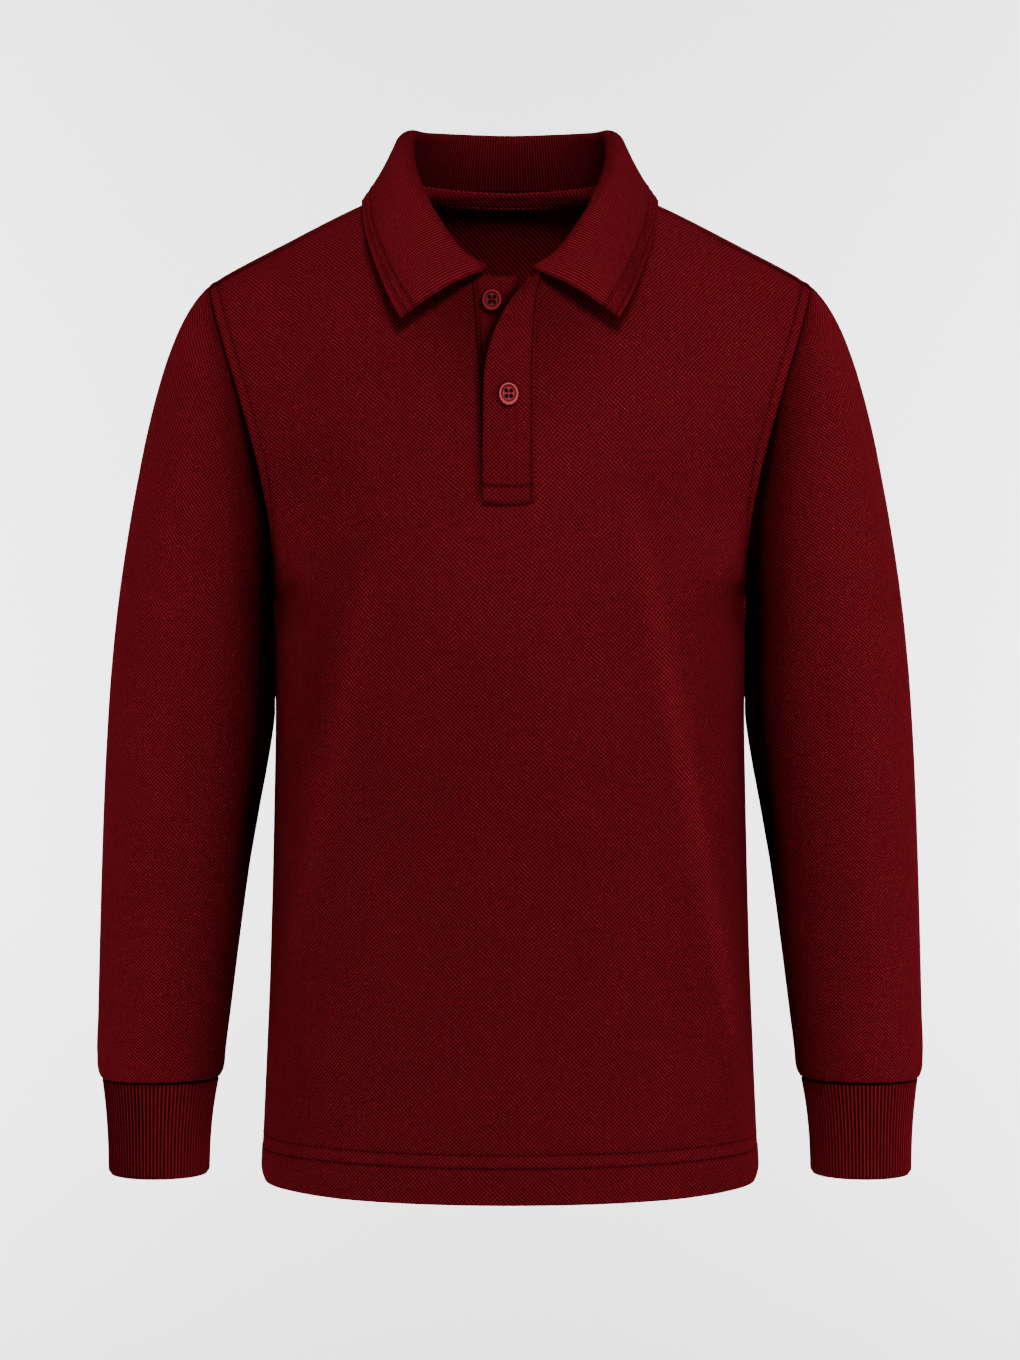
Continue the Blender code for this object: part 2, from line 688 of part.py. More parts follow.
def build_button(name, grid):
    x, height, _ = BUTTONS[name]
    place, outward = frame_at(grid, x, height)
    side = unit(np.cross(np.array([0.0, 0.0, 1.0]), outward))
    turned = np.array([side, np.cross(outward, side), outward])
    made = []
    for bm, label in ((turned_button(), name), (hole_cutter(), name + "_holes")):
        bm.verts.ensure_lookup_table()
        local = np.array([v.co[:] for v in bm.verts])
        points = local @ turned + place
        faces = [[v.index for v in face.verts] for face in bm.faces]
        made.append(object_from(label, points, faces, BUTTON_PINK, 0.35))
        bm.free()
    button, cutter = made
    holes = button.modifiers.new("holes", "BOOLEAN")
    holes.operation = "DIFFERENCE"
    holes.object = cutter
    cutter.hide_render = True
    cutter.display_type = "WIRE"


def main():
    for old in list(bpy.data.objects):
        bpy.data.objects.remove(old, do_unlink=True)
    front = slanted_to_the_placket(with_foot_row(whole_panel("front")))
    back = whole_panel("back")
    build_front(front)
    sheet("back", back, CLOTH)
    over, under = over_strip_grid(front), under_strip_grid(front)
    sheet("placket_over", over, STRIP_CLOTH)
    sheet("placket_under", under, STRIP_CLOTH)
    build_tape(back)
    build_collar()
    build_sleeves()
    build_cuff("cuff_left", flip=False)
    build_cuff("cuff_right", flip=True)
    for name, (_, _, carrier) in BUTTONS.items():
        build_button(name, over if carrier == "over" else under)


main()
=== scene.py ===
"""The look of a child's long-sleeve polo shirt, filled out as if worn, with nobody inside.

Each cut piece of cloth is a thin shell on the form of its solid, with its drape, seams, stitching
and knit. Tables are in millimetres and become metres where a mesh is made. +Z is up, -Y is the
front and +X is the wearer's left.
"""

import math

import bpy
import numpy as np
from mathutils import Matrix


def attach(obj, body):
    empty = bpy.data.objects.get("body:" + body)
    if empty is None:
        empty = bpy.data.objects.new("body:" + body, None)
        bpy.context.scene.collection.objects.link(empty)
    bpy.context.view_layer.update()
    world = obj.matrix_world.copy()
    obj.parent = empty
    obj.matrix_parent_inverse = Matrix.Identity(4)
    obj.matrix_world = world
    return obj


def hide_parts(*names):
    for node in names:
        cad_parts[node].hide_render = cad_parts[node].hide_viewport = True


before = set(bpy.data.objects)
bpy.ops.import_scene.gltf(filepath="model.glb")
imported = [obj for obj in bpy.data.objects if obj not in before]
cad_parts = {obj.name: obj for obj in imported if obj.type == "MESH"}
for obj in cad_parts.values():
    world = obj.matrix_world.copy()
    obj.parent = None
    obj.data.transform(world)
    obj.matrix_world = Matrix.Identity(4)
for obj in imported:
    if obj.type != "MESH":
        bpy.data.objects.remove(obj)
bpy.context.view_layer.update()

MM = 0.001

# ---------------------------------------------------------------- camera, light and room

CAMERA_PLACE = (0.0, -1.55, -0.2545)
CAMERA_LENS = 77.85
FLOOR_HEIGHT = -1.05
WALL_DISTANCE = 2.35
WALL_TOP = 3.0
ROOM_REACH = 4.0  # of the floor, to the front and to each side
ROOM_BEND = 0.5  # the radius between the floor and the wall
PAPER = (0.962, 0.953, 0.956, 1.0)


def placed(name, data):
    """A new object in the scene."""
    made = bpy.data.objects.new(name, data)
    bpy.context.scene.collection.objects.link(made)
    return made


def add_camera():
    data = bpy.data.cameras.new("camera")
    data.lens = CAMERA_LENS
    data.sensor_fit = "AUTO"
    data.sensor_width = 36.0
    camera = placed("camera", data)
    camera.location = CAMERA_PLACE
    camera.rotation_euler = (math.radians(90.0), 0.0, 0.0)
    bpy.context.scene.camera = camera


# name, place, point it faces, width, height, watts
LAMPS = (
    ("key", (0.30, -1.9, 1.45), (0.0, 0.0, -0.2), 0.9, 0.7, 51.0),
    ("fill_left", (-2.0, -0.55, 0.1), (0.0, 0.0, -0.25), 0.9, 1.8, 3.5),
    ("fill_right", (2.0, -0.55, 0.1), (0.0, 0.0, -0.25), 0.9, 1.8, 7.5),
    ("wall_left", (-1.47, 0.95, -0.2), (-1.32, 2.35, -0.2), 0.75, 2.4, 130.0),
    ("wall_right", (1.47, 0.95, -0.2), (1.32, 2.35, -0.2), 0.75, 2.4, 130.0),
)
ROOM_LIGHT = (0.80, 0.81, 0.83, 1.0)
ROOM_STRENGTH = 0.20


def add_lamps():
    for name, place, target, width, height, watts in LAMPS:
        data = bpy.data.lights.new(name, "AREA")
        data.shape = "RECTANGLE"
        data.size, data.size_y = width, height
        data.energy = watts
        lamp = placed(name, data)
        lamp.location = place
        facing = np.array(target) - np.array(place)
        flat = math.hypot(facing[0], facing[1])
        lamp.rotation_euler = (math.atan2(flat, -facing[2]), 0.0, math.atan2(-facing[0], facing[1]))
    world = bpy.data.worlds.new("room")
    bpy.context.scene.world = world
    world.use_nodes = True
    shade = world.node_tree.nodes["Background"]
    shade.inputs["Color"].default_value = ROOM_LIGHT
    shade.inputs["Strength"].default_value = ROOM_STRENGTH


def add_room():
    """A pale floor that curves up into a wall."""
    foot, middle = WALL_DISTANCE - ROOM_BEND, FLOOR_HEIGHT + ROOM_BEND
    profile = [(-ROOM_REACH, FLOOR_HEIGHT)]
    for i in range(13):
        turn = math.radians(90.0 * i / 12)
        profile.append((foot + ROOM_BEND * math.sin(turn), middle - ROOM_BEND * math.cos(turn)))
    profile.append((WALL_DISTANCE, WALL_TOP))
    points = [(x, y, z) for y, z in profile for x in (-ROOM_REACH, ROOM_REACH)]
    faces = [(2 * i, 2 * i + 1, 2 * i + 3, 2 * i + 2) for i in range(len(profile) - 1)]
    mesh = bpy.data.meshes.new("room")
    mesh.from_pydata(points, [], faces)
    mesh.shade_smooth()
    paper, _, shader = new_material("backdrop_paper", 0.95, 0.5)
    shader.inputs["Base Color"].default_value = PAPER
    mesh.materials.append(paper)
    placed("room", mesh)


# ---------------------------------------------------------------- materials


def node(tree, kind, values=None, **settings):
    """A node with its settings, and its inputs given as values or linked to other sockets."""
    made = tree.nodes.new(kind)
    for name, value in settings.items():
        setattr(made, name, value)
    for key, value in (values or {}).items():
        if isinstance(value, bpy.types.NodeSocket):
            tree.links.new(value, made.inputs[key])
        else:
            made.inputs[key].default_value = value
    return made


def sums(tree, operation, first, second=0.0, clamp=False):
    values = {0: first, 1: second}
    return node(tree, "ShaderNodeMath", values, operation=operation, use_clamp=clamp).outputs[0]


def plus(tree, first, second):
    return sums(tree, "ADD", first, second)


def times(tree, first, second):
    return sums(tree, "MULTIPLY", first, second)


def waves(tree, place, pitch):
    """The cosine of a place, with one wave in each pitch."""
    return sums(tree, "COSINE", times(tree, sums(tree, "DIVIDE", place, pitch), 2 * math.pi))


def new_group(name, sizes, output):
    """A node group that takes a place and some sizes: its tree, what it is given and its output."""
    tree = bpy.data.node_groups.new(name, "ShaderNodeTree")
    tree.interface.new_socket("Place", in_out="INPUT", socket_type="NodeSocketVector")
    for key, size in sizes.items():
        tree.interface.new_socket(key, in_out="INPUT", socket_type="NodeSocketFloat").default_value = size
    tree.interface.new_socket(output, in_out="OUTPUT", socket_type="NodeSocketFloat")
    return tree, tree.nodes.new("NodeGroupInput").outputs, tree.nodes.new("NodeGroupOutput").inputs[0]


def noise(tree, place, scale, detail, **values):
    values = {"Vector": place, "Scale": scale, "Detail": detail, **values}
    return node(tree, "ShaderNodeTexNoise", values).outputs


def pique_group():
    """Small staggered cells, in diagonal rows of which one direction shows more."""
    tree, given, out = new_group("pique_knit", {"Cell": 0.0021, "Rising": 0.22, "Falling": 0.30}, "Height")
    # The yarn wanders a little, so the rows aren't ruled.
    wander = noise(tree, given["Place"], 60.0, 2.0)["Color"]
    shift = node(tree, "ShaderNodeVectorMath", {0: wander, 1: (0.5, 0.5, 0.5)}, operation="SUBTRACT")
    values = {0: shift.outputs[0], 1: (0.0030, 0.0030, 0.0), 2: given["Place"]}
    moved = node(tree, "ShaderNodeVectorMath", values, operation="MULTIPLY_ADD")
    x, y, _ = node(tree, "ShaderNodeSeparateXYZ", {0: moved.outputs[0]}).outputs
    falling = times(tree, waves(tree, plus(tree, x, y), given["Cell"]), given["Falling"])
    rising = times(tree, waves(tree, sums(tree, "SUBTRACT", x, y), given["Cell"]), given["Rising"])
    tree.links.new(plus(tree, plus(tree, falling, rising), 0.5), out)
    return tree


def rib_group():
    """Ribs that run up the cloth, or aslant, with the stitches' own faint rows across them."""
    tree, given, out = new_group("rib_knit", {"Pitch": 0.0015, "Slant": 0.0}, "Height")
    x, y, _ = node(tree, "ShaderNodeSeparateXYZ", {0: given["Place"]}).outputs
    ribs = waves(tree, plus(tree, x, times(tree, y, given["Slant"])), given["Pitch"])
    rows = waves(tree, y, 0.0012)
    tree.links.new(plus(tree, plus(tree, times(tree, ribs, 0.42), times(tree, rows, 0.08)), 0.5), out)
    return tree


def tone_group():
    """Slow and quick unevenness of dyed cotton, as one mask about a half."""
    tree, given, out = new_group("cotton_tone", {"Slow": 22.0, "Quick": 420.0}, "Mask")
    slow = noise(tree, given["Place"], given["Slow"], 3.0)[0]
    quick = noise(tree, given["Place"], given["Quick"], 2.0)[0]
    tree.links.new(plus(tree, times(tree, slow, 0.22), times(tree, quick, 0.78)), out)
    return tree


GROUPS = {"pique": pique_group(), "rib": rib_group(), "tone": tone_group()}


def new_material(name, roughness, gloss):
    """A material, its node tree and its shader."""
    made = bpy.data.materials.new(name)
    made.use_nodes = True
    shader = made.node_tree.nodes["Principled BSDF"]
    shader.inputs["Roughness"].default_value = roughness
    shader.inputs["Specular IOR Level"].default_value = gloss
    return made, made.node_tree, shader


def grouped(tree, group, place, values=None):
    """The output of a node group at a place."""
    values = {"Place": place, **(values or {})}
    return node(tree, "ShaderNodeGroup", values, node_tree=GROUPS[group]).outputs[0]


def coloured(tree, shader, share, dark, light):
    """Colours the shader from dark to light by a share."""
    ramp = node(tree, "ShaderNodeMix", {0: share, 6: dark, 7: light}, data_type="RGBA")
    tree.links.new(ramp.outputs[2], shader.inputs["Base Color"])


def cloth_material(name, pattern, values, depth, dark, light, roughness):
    """Dyed cotton: a knit on the cloth's own map, shaded by its height.

    The cloth's painted shading attribute darkens it as painted shade along seams, in the hollows
    and where shadows fall; below nought it pales it as painted light.
    """
    made, tree, shader = new_material(name, roughness, 0.0)
    place = node(tree, "ShaderNodeUVMap", uv_map="cloth").outputs[0]
    knit = grouped(tree, pattern, place, values)
    # The colour: painted shade in the knit's low places, mixed with the cotton's own uneven tone
    shade = plus(tree, knit, times(tree, grouped(tree, "tone", place), 0.55))
    shade = sums(tree, "SUBTRACT", shade, 0.27, clamp=True)
    # The painted shade (and below nought painted light) of each point, from the cloth's attribute
    painted_shading = node(tree, "ShaderNodeAttribute", attribute_name="painted_shading").outputs["Fac"]
    shade = sums(tree, "MULTIPLY", shade, sums(tree, "SUBTRACT", 1.0, painted_shading), clamp=True)
    coloured(tree, shader, shade, dark, light)
    relief = node(tree, "ShaderNodeBump", {"Height": knit, "Strength": 1.0, "Distance": depth})
    tree.links.new(relief.outputs[0], shader.inputs["Normal"])
    return made


def thread_material(name, dark, light):
    made, tree, shader = new_material(name, 0.9, 0.0)
    place = node(tree, "ShaderNodeTexCoord").outputs["Object"]
    coloured(tree, shader, grouped(tree, "tone", place), dark, light)
    return made


def button_material(name, dark, light):
    """Dyed plastic with faint swirls and a soft polish, with painted shade where its face is dished."""
    made, tree, shader = new_material(name, 0.5, 0.02)
    place = node(tree, "ShaderNodeTexCoord").outputs["Object"]
    swirl = noise(tree, place, 260.0, 3.0, Distortion=0.8)[0]
    painted_shading = node(tree, "ShaderNodeAttribute", attribute_name="painted_shading").outputs["Fac"]
    pale = sums(tree, "SUBTRACT", plus(tree, times(tree, swirl, 0.3), 0.82), painted_shading, clamp=True)
    coloured(tree, shader, pale, dark, light)
    tree.links.new(plus(tree, times(tree, swirl, 0.15), 0.34), shader.inputs["Roughness"])
    return made


CUFF_PITCH = 0.0018
PIQUE_DARK, PIQUE_LIGHT = (0.010, 0.0005, 0.0009, 1.0), (0.229, 0.0112, 0.0195, 1.0)
INSIDE_DARK, INSIDE_LIGHT = (0.010, 0.0004, 0.0008, 1.0), (0.180, 0.0062, 0.0116, 1.0)
TAPE_DARK, TAPE_LIGHT = (0.010, 0.0005, 0.0010, 1.0), (0.158, 0.0079, 0.0140, 1.0)
COTTON = (PIQUE_DARK, PIQUE_LIGHT, 0.9)
INSIDE_KNIT = {"Cell": 0.0024, "Rising": 0.42, "Falling": 0.08}
TAPE_KNIT = {"Pitch": 0.0024, "Slant": 0.8}
INSIDE = (INSIDE_DARK, INSIDE_LIGHT, 0.9)
TAPE = (TAPE_DARK, TAPE_LIGHT, 0.8)
# name, pattern, the pattern's sizes, depth of its relief, then dark, light and roughness
CLOTHS = {
    "pique": ("burgundy_pique", "pique", {}, 0.00050, *COTTON),
    "pique_inside": ("burgundy_pique_inside", "pique", INSIDE_KNIT, 0.00040, *INSIDE),
    "rib": ("burgundy_rib", "rib", {"Pitch": 0.0016}, 0.00055, *COTTON),
    "cuff_rib": ("burgundy_cuff_rib", "rib", {"Pitch": CUFF_PITCH}, 0.00020, *COTTON),
    "tape": ("burgundy_twill_tape", "rib", TAPE_KNIT, 0.00045, *TAPE),
}
# name, dark, light
THREADS = {
    "thread": ("sewing_thread", (0.085, 0.004, 0.007, 1.0), (0.190, 0.009, 0.016, 1.0)),
    # A paler copy of the sewing thread: painted highlight on the tape's and the lower button's stitches
    "thread_painted_highlight": ("tape_thread_painted_highlight", (0.240, 0.018, 0.026, 1.0), (0.400, 0.036, 0.046, 1.0)),
    # A near-black copy of the sewing thread: painted shade on the stitches sunk in their grooves
    "thread_painted_shade": ("sewing_thread_painted_shade", (0.004, 0.0002, 0.0004, 1.0), (0.012, 0.0006, 0.001, 1.0)),
}
PLASTICS = {
    # The top button's plastic is a darker copy of the lower's, as painted shade under the collar
    "button_top": ("dyed_button_painted_shade", (0.070, 0.003, 0.005, 1.0), (0.290, 0.022, 0.028, 1.0)),
    "button_lower": ("dyed_button_light", (0.120, 0.006, 0.014, 1.0), (0.640, 0.085, 0.098, 1.0)),
    "button_hole": ("button_hole_shade", (0.004, 0.0005, 0.0006, 1.0), (0.010, 0.001, 0.001, 1.0)),
}
MATERIALS = {key: cloth_material(*values) for key, values in CLOTHS.items()}
MATERIALS |= {key: thread_material(*values) for key, values in THREADS.items()}
MATERIALS |= {key: button_material(*values) for key, values in PLASTICS.items()}

# ---------------------------------------------------------------- the form, as the solids have it

SEAM_GAP = 0.3  # between two pieces that are sewn together
CLOTH = 1.2  # the wall of the pique panels and sleeves
RIB_CLOTH = 1.5  # the wall of the collar
STRIP_CLOTH = 1.4  # a placket strip, folded double
TAPE_CLOTH = 1.0

# The torso. Heights are Z, and depths run from the side seam's plane to the middle of the cloth.
UNDERARM_HEIGHT = -207.0
SHOULDER_TIP = (158.0, -47.0)  # x and height of the seam's outer end
NECK_POINT = (64.0, 3.5)  # x and height of the seam's inner end
SHOULDER_ROUND = 100.0  # height over which the shoulder rounds over to full depth
SHOULDER_END_DROP = 1.6
SEAM_BELOW_RIDGE = 2.0  # the shoulder seam lies this far below the ridge, on the front

# height, half width
BODY_WIDTHS = (
    (-516.0, 131.0),
    (-465.0, 128.6),
    (-402.0, 126.0),
    (-340.0, 124.4),
    (-275.0, 123.3),
    (-207.0, 123.8),
)
# height, depth of the front, depth of the back
BODY_DEPTHS = (
    (-516.0, 88.0, 86.0),
    (-465.0, 87.0, 84.5),
    (-400.0, 86.0, 83.5),
    (-330.0, 87.0, 83.5),
    (-260.0, 89.5, 84.5),
    (-207.0, 91.0, 86.5),
    (-165.0, 89.0, 88.0),
    (-130.0, 84.0, 88.0),
    (-100.0, 77.5, 87.0),
    (-70.0, 69.0, 85.0),
    (-50.0, 62.6, 84.0),
    (-20.0, 54.0, 82.0),
    (11.0, 50.0, 80.7),
    (40.0, 50.0, 80.0),
)
# height, how square the section is, how steeply it meets its edge, how near to the edge the
# armhole's depth is felt
SECTION_SHAPES = (
    (-516.0, 2.08, 0.480, 12.0),
    (-400.0, 2.15, 0.470, 12.0),
    (-300.0, 2.15, 0.470, 12.0),
    (-215.0, 2.10, 0.480, 12.0),
    (-190.0, 2.20, 0.580, 9.0),
    (-165.0, 2.40, 0.800, 6.0),
    (-140.0, 2.60, 1.000, 4.0),
    (40.0, 2.60, 1.000, 3.5),
)
# The drape from the chest to the hem: height, angle round from the middle, height of the ridge
DRAPE_RIDGES = (
    (-516.0, 74.0, 0.8),
    (-450.0, 72.0, 1.8),
    (-400.0, 69.5, 2.2),
    (-350.0, 64.0, 2.6),
    (-290.0, 54.0, 2.6),
    (-233.0, 44.0, 1.8),
    (-180.0, 36.0, 0.0),
    (40.0, 36.0, 0.0),
)
DRAPE_SPREAD = 9.0  # degrees

ARMHOLE_DEPTHS = {"front": 44.0, "back": 46.0}
ARMHOLE_BOWS = {"front": 30.0, "back": 18.0}

# The neck opening, as a ring at the collar's seam
NECK_HALF_WIDTH = 64.0
NECK_FRONT = 62.0
NECK_BACK = 54.0
NECK_FRONT_HEIGHT = -50.0
NECK_BACK_HEIGHT = 11.0

# The columns of a panel from its middle to its edge, as shares of the half width. The first of
# them end on the neckline, at these angles round from the middle of the front.
NECK_COLUMNS = (0.0, 0.10, 0.195, 0.28, 0.345, 0.39, 0.43)
FRONT_NECK_ANGLES = (0.0, 16.0, 32.0, 47.0, 60.0, 71.0, 80.0)
BACK_NECK_ANGLES = (180.0, 165.0, 150.0, 135.0, 119.0, 102.0, 80.0)
SIDE_COLUMNS = 10
EASING_PASSES = 3
LOWER_ROWS = (-516.0, -490.0, -455.0, -410.0, -365.0, -320.0, -275.0, -240.0)
ARMHOLE_STEPS = 12  # from the underarm to the shoulder tip, as on a sleeve's first ring
UPPER_ROWS = tuple((1.0 - math.cos(math.pi * i / ARMHOLE_STEPS)) / 2 for i in range(ARMHOLE_STEPS + 1))

# The placket: a slot in the front, with one strip in it and one strip over it
SLOT_FOOT = 0.285  # share of the height from the underarm to the neckline
SLOT_SHIFTS = (-1.8, -3.6)  # sideways, at the slot's foot and at the neckline
SLOT_REACH = 3.4  # columns away from the middle at which the shift has died away
# share of the height from the underarm to the neckline, free edge, sewn edge
OVER_STRIP = (
    (0.248, -13.6, 12.4),
    (0.55, -13.5, 12.4),
    (0.70, -12.4, 12.6),
    (0.80, -8.7, 13.2),
    (0.88, -3.4, 14.2),
    (0.94, 2.4, 15.4),
    (0.985, 8.6, 17.5),
)
OVER_STRIP_LIFT = 5.0  # how far the open top corner of the strip stands off
UNDER_STRIP_WIDTH = 23.5
TAPE_WIDTH = 10.0

# The collar: a row for each section from the middle of the back to the front end, with the angle
# round the neck seam, the top of the fold (x, y, z), the outer edge (x, y, z) and how far the fall
# bellies out between them
COLLAR_SECTIONS = (
    (180.0, (0.0, 57.5, 42.2), (0.0, 72.0, 0.0), 2.0),
    (150.0, (27.5, 52.0, 42.0), (36.5, 65.0, 0.0), 2.0),
    (125.0, (44.5, 35.0, 39.8), (61.5, 46.5, -0.5), 0.5),
    (102.0, (52.5, 13.0, 36.5), (76.0, 17.0, -1.0), -2.0),
    (82.0, (52.5, -2.5, 24.0), (77.0, -14.0, -6.0), -0.5),
    (62.0, (46.5, -17.5, 3.5), (73.5, -42.0, -27.0), 3.0),
    (42.0, (35.5, -38.5, -18.5), (67.0, -59.0, -47.0), 4.2),
    (24.0, (23.5, -54.5, -36.5), (61.0, -69.5, -61.5), 4.4),
    (11.0, (12.0, -64.5, -46.0), (54.9, -75.0, -72.7), 4.4),
)
COLLAR_BASE_LIFT = 0.6  # the collar's seam edge lies this far over the neckline

# The sleeves: a row for each ring from the armhole to the cuff, with the point nearest to the
# body (x, z), the point farthest from it (x, z), the ring's middle (y) and its half depth
SLEEVE_RINGS = (
    ((124.9, -211.5), (165.3, -55.0), 0.0, 46.0),
    ((124.9, -216.5), (172.3, -67.0), -0.5, 47.5),
    ((124.9, -222.5), (179.2, -84.0), -1.0, 48.0),
    ((125.0, -229.5), (185.3, -104.0), -1.5, 48.0),
    ((125.0, -237.5), (190.7, -126.0), -2.0, 47.5),
    ((125.1, -247.0), (195.5, -150.0), -2.5, 46.5),
    ((125.2, -258.5), (200.2, -177.0), -3.0, 45.0),
    ((125.6, -273.0), (204.6, -207.0), -4.0, 43.5),
    ((128.3, -296.0), (208.6, -245.0), -5.0, 42.0),
    ((132.6, -325.0), (211.4, -290.0), -6.5, 40.0),
    ((137.4, -357.0), (213.2, -338.0), -8.0, 38.0),
    ((142.2, -394.0), (214.4, -386.0), -9.5, 36.0),
    ((146.6, -430.0), (215.2, -428.0), -11.0, 33.5),
    ((149.1, -450.0), (215.6, -450.0), -12.0, 31.7),
    ((150.0, -457.5), (214.9, -458.0), -12.3, 30.6),
    ((151.6, -461.5), (213.2, -462.0), -12.5, 29.0),
)
SLEEVE_SQUARENESS = 2.15
BOW_FADE_RINGS = 3  # the armhole's inward bow has gone this many rings down the sleeve

# The cuffs: height, point nearest to the body, point farthest from it, half depth
CUFF_RINGS = (
    (-462.6, 152.2, 212.9, 28.4),
    (-477.0, 154.7, 210.9, 26.4),
    (-512.0, 156.9, 209.7, 24.8),
)
CUFF_MIDDLE = -12.6
CUFF_RIBS = 90
RIB_HEIGHT = 0.8
CUFF_CLOTH = 1.3  # the plain wall under the ribs

# The buttons: middle of the front view (x, z), and which strip carries it
BUTTONS = {
    "button_top": (-9.2, -63.4, "under"),
    "button_lower": (-0.7, -112.0, "over"),
}


def column(table, value, index):
    """A column of a table at one height, read on straight lines between the rows."""
    return np.interp(value, [row[0] for row in table], [row[index] for row in table])


def smooth_between(rows, at):
    """A point of the smooth curve through the rows, at a place counted in rows."""
    last = len(rows) - 1
    start = min(int(at), last - 1)
    t = at - start
    b, c = rows[start], rows[start + 1]
    # The first row is the middle of the back, so the row before it mirrors the one after it.
    a = rows[start - 1] if start else rows[1] * np.array([-1.0, 1.0, 1.0])
    d = rows[start + 2] if start + 2 <= last else 2.0 * c - b
    return 0.5 * (
        2.0 * b + (c - a) * t + (2 * a - 5 * b + 4 * c - d) * t**2 + (3 * b - a - 3 * c + d) * t**3
    )


def unit(vector):
    return vector / np.linalg.norm(vector)


def mirrored(grid):
    """The other half of a symmetric piece."""
    return grid * np.array([-1.0, 1.0, 1.0])


def normals_of(grid, closed=False):
    """The outward direction at each point of a grid of rows that run round or across."""
    if closed:
        across = np.roll(grid, -1, axis=1) - np.roll(grid, 1, axis=1)
    else:
        across = np.gradient(grid, axis=1)
    along = np.gradient(grid, axis=0)
    found = np.cross(across, along)
    return found / np.linalg.norm(found, axis=2, keepdims=True)


def ridge_height(x):
    """The height of the shoulder's ridge, drawn on over the neck as a straight line."""
    slope = (SHOULDER_TIP[1] + SHOULDER_END_DROP - NECK_POINT[1]) / (SHOULDER_TIP[0] - NECK_POINT[0])
    end = np.clip((x - 130.0) / (SHOULDER_TIP[0] - 130.0), 0.0, 1.2)
    return NECK_POINT[1] + slope * (x - NECK_POINT[0]) - SHOULDER_END_DROP * end**4


def armhole_share(height):
    """0 at the underarm and 1 at the shoulder tip."""
    return np.clip((height - UNDERARM_HEIGHT) / (SHOULDER_TIP[1] - UNDERARM_HEIGHT), 0.0, 1.0)


def armhole_bow(side, share):
    return ARMHOLE_BOWS[side] * share**0.75 * (1.0 - share) ** 1.4


def edge_width(side, height):
    """The half width of a panel: at the side seam, and above the underarm at the armhole."""
    if height <= UNDERARM_HEIGHT:
        return column(BODY_WIDTHS, height, 1)
    share = armhole_share(height)
    straight = BODY_WIDTHS[-1][1] + (SHOULDER_TIP[0] - BODY_WIDTHS[-1][1]) * share
    return straight - armhole_bow(side, share)


def armhole_depth(side, height, top):
    """The armhole's own depth, carried across the panel under a ridge of this height."""
    share = np.clip((height - UNDERARM_HEIGHT) / (top - UNDERARM_HEIGHT), 0.0, 1.0)
    return ARMHOLE_DEPTHS[side] * 2.0 * math.sqrt(share * (1.0 - share))


def torso_point(side, share, height):
    """The outer surface of the right half, at a share of the half width and a height."""
    width = edge_width(side, height)
    x = share * width
    below = np.clip((ridge_height(x) - height) / SHOULDER_ROUND, 0.0, 1.0)
    rounding = math.sqrt(1.0 - (1.0 - below) ** 2)
    middle = column(BODY_DEPTHS, height, 1 if side == "front" else 2) * rounding
    squareness, steepness, edge_reach = (column(SECTION_SHAPES, height, i) for i in (1, 2, 3))
    edge = armhole_depth(side, height, ridge_height(x)) * share**edge_reach
    depth = edge + middle * max(0.0, 1.0 - share**squareness) ** steepness
    facing = -1.0 if side == "front" else 1.0
    point = np.array([x, facing * (depth + SEAM_GAP / 2), height])
    ridge = column(DRAPE_RIDGES, height, 2)
    off = (math.degrees(math.asin(share)) - column(DRAPE_RIDGES, height, 1)) / DRAPE_SPREAD
    outward = unit(np.array([x / width**2, facing * depth / max(middle, 1.0) ** 2, 0.0]) + 1e-9)
    fading = 1.0 - share**8
    return point + outward * ridge * fading * math.exp(-(off**2))


def neck_point(angle):
    """A point of the neck seam, at degrees round from the middle of the front."""
    turn = math.radians(angle)
    forward = math.cos(turn)
    drop = NECK_POINT[1] - NECK_FRONT_HEIGHT
    if forward > 0.0:
        y, z = -NECK_FRONT * forward, NECK_POINT[1] - drop * forward**1.5
    else:
        y, z = -NECK_BACK * forward, NECK_POINT[1] + (NECK_BACK_HEIGHT - NECK_POINT[1]) * abs(forward)
    return np.array([NECK_HALF_WIDTH * math.sin(turn), y, z])


def panel_columns():
    """Shares of the half width, closer together where the side turns away."""
    first = math.asin(NECK_COLUMNS[-1])
    turns = np.linspace(first, math.pi / 2, SIDE_COLUMNS + 1)[1:]
    return list(NECK_COLUMNS) + [math.sin(turn) for turn in turns]


def column_top(side, index, share):
    """Where a column of a panel ends, on the neckline or on the shoulder seam."""
    angles = FRONT_NECK_ANGLES if side == "front" else BACK_NECK_ANGLES
    if index < len(angles) - 1:
        return neck_point(angles[index])[2]
    return ridge_height(share * SHOULDER_TIP[0])


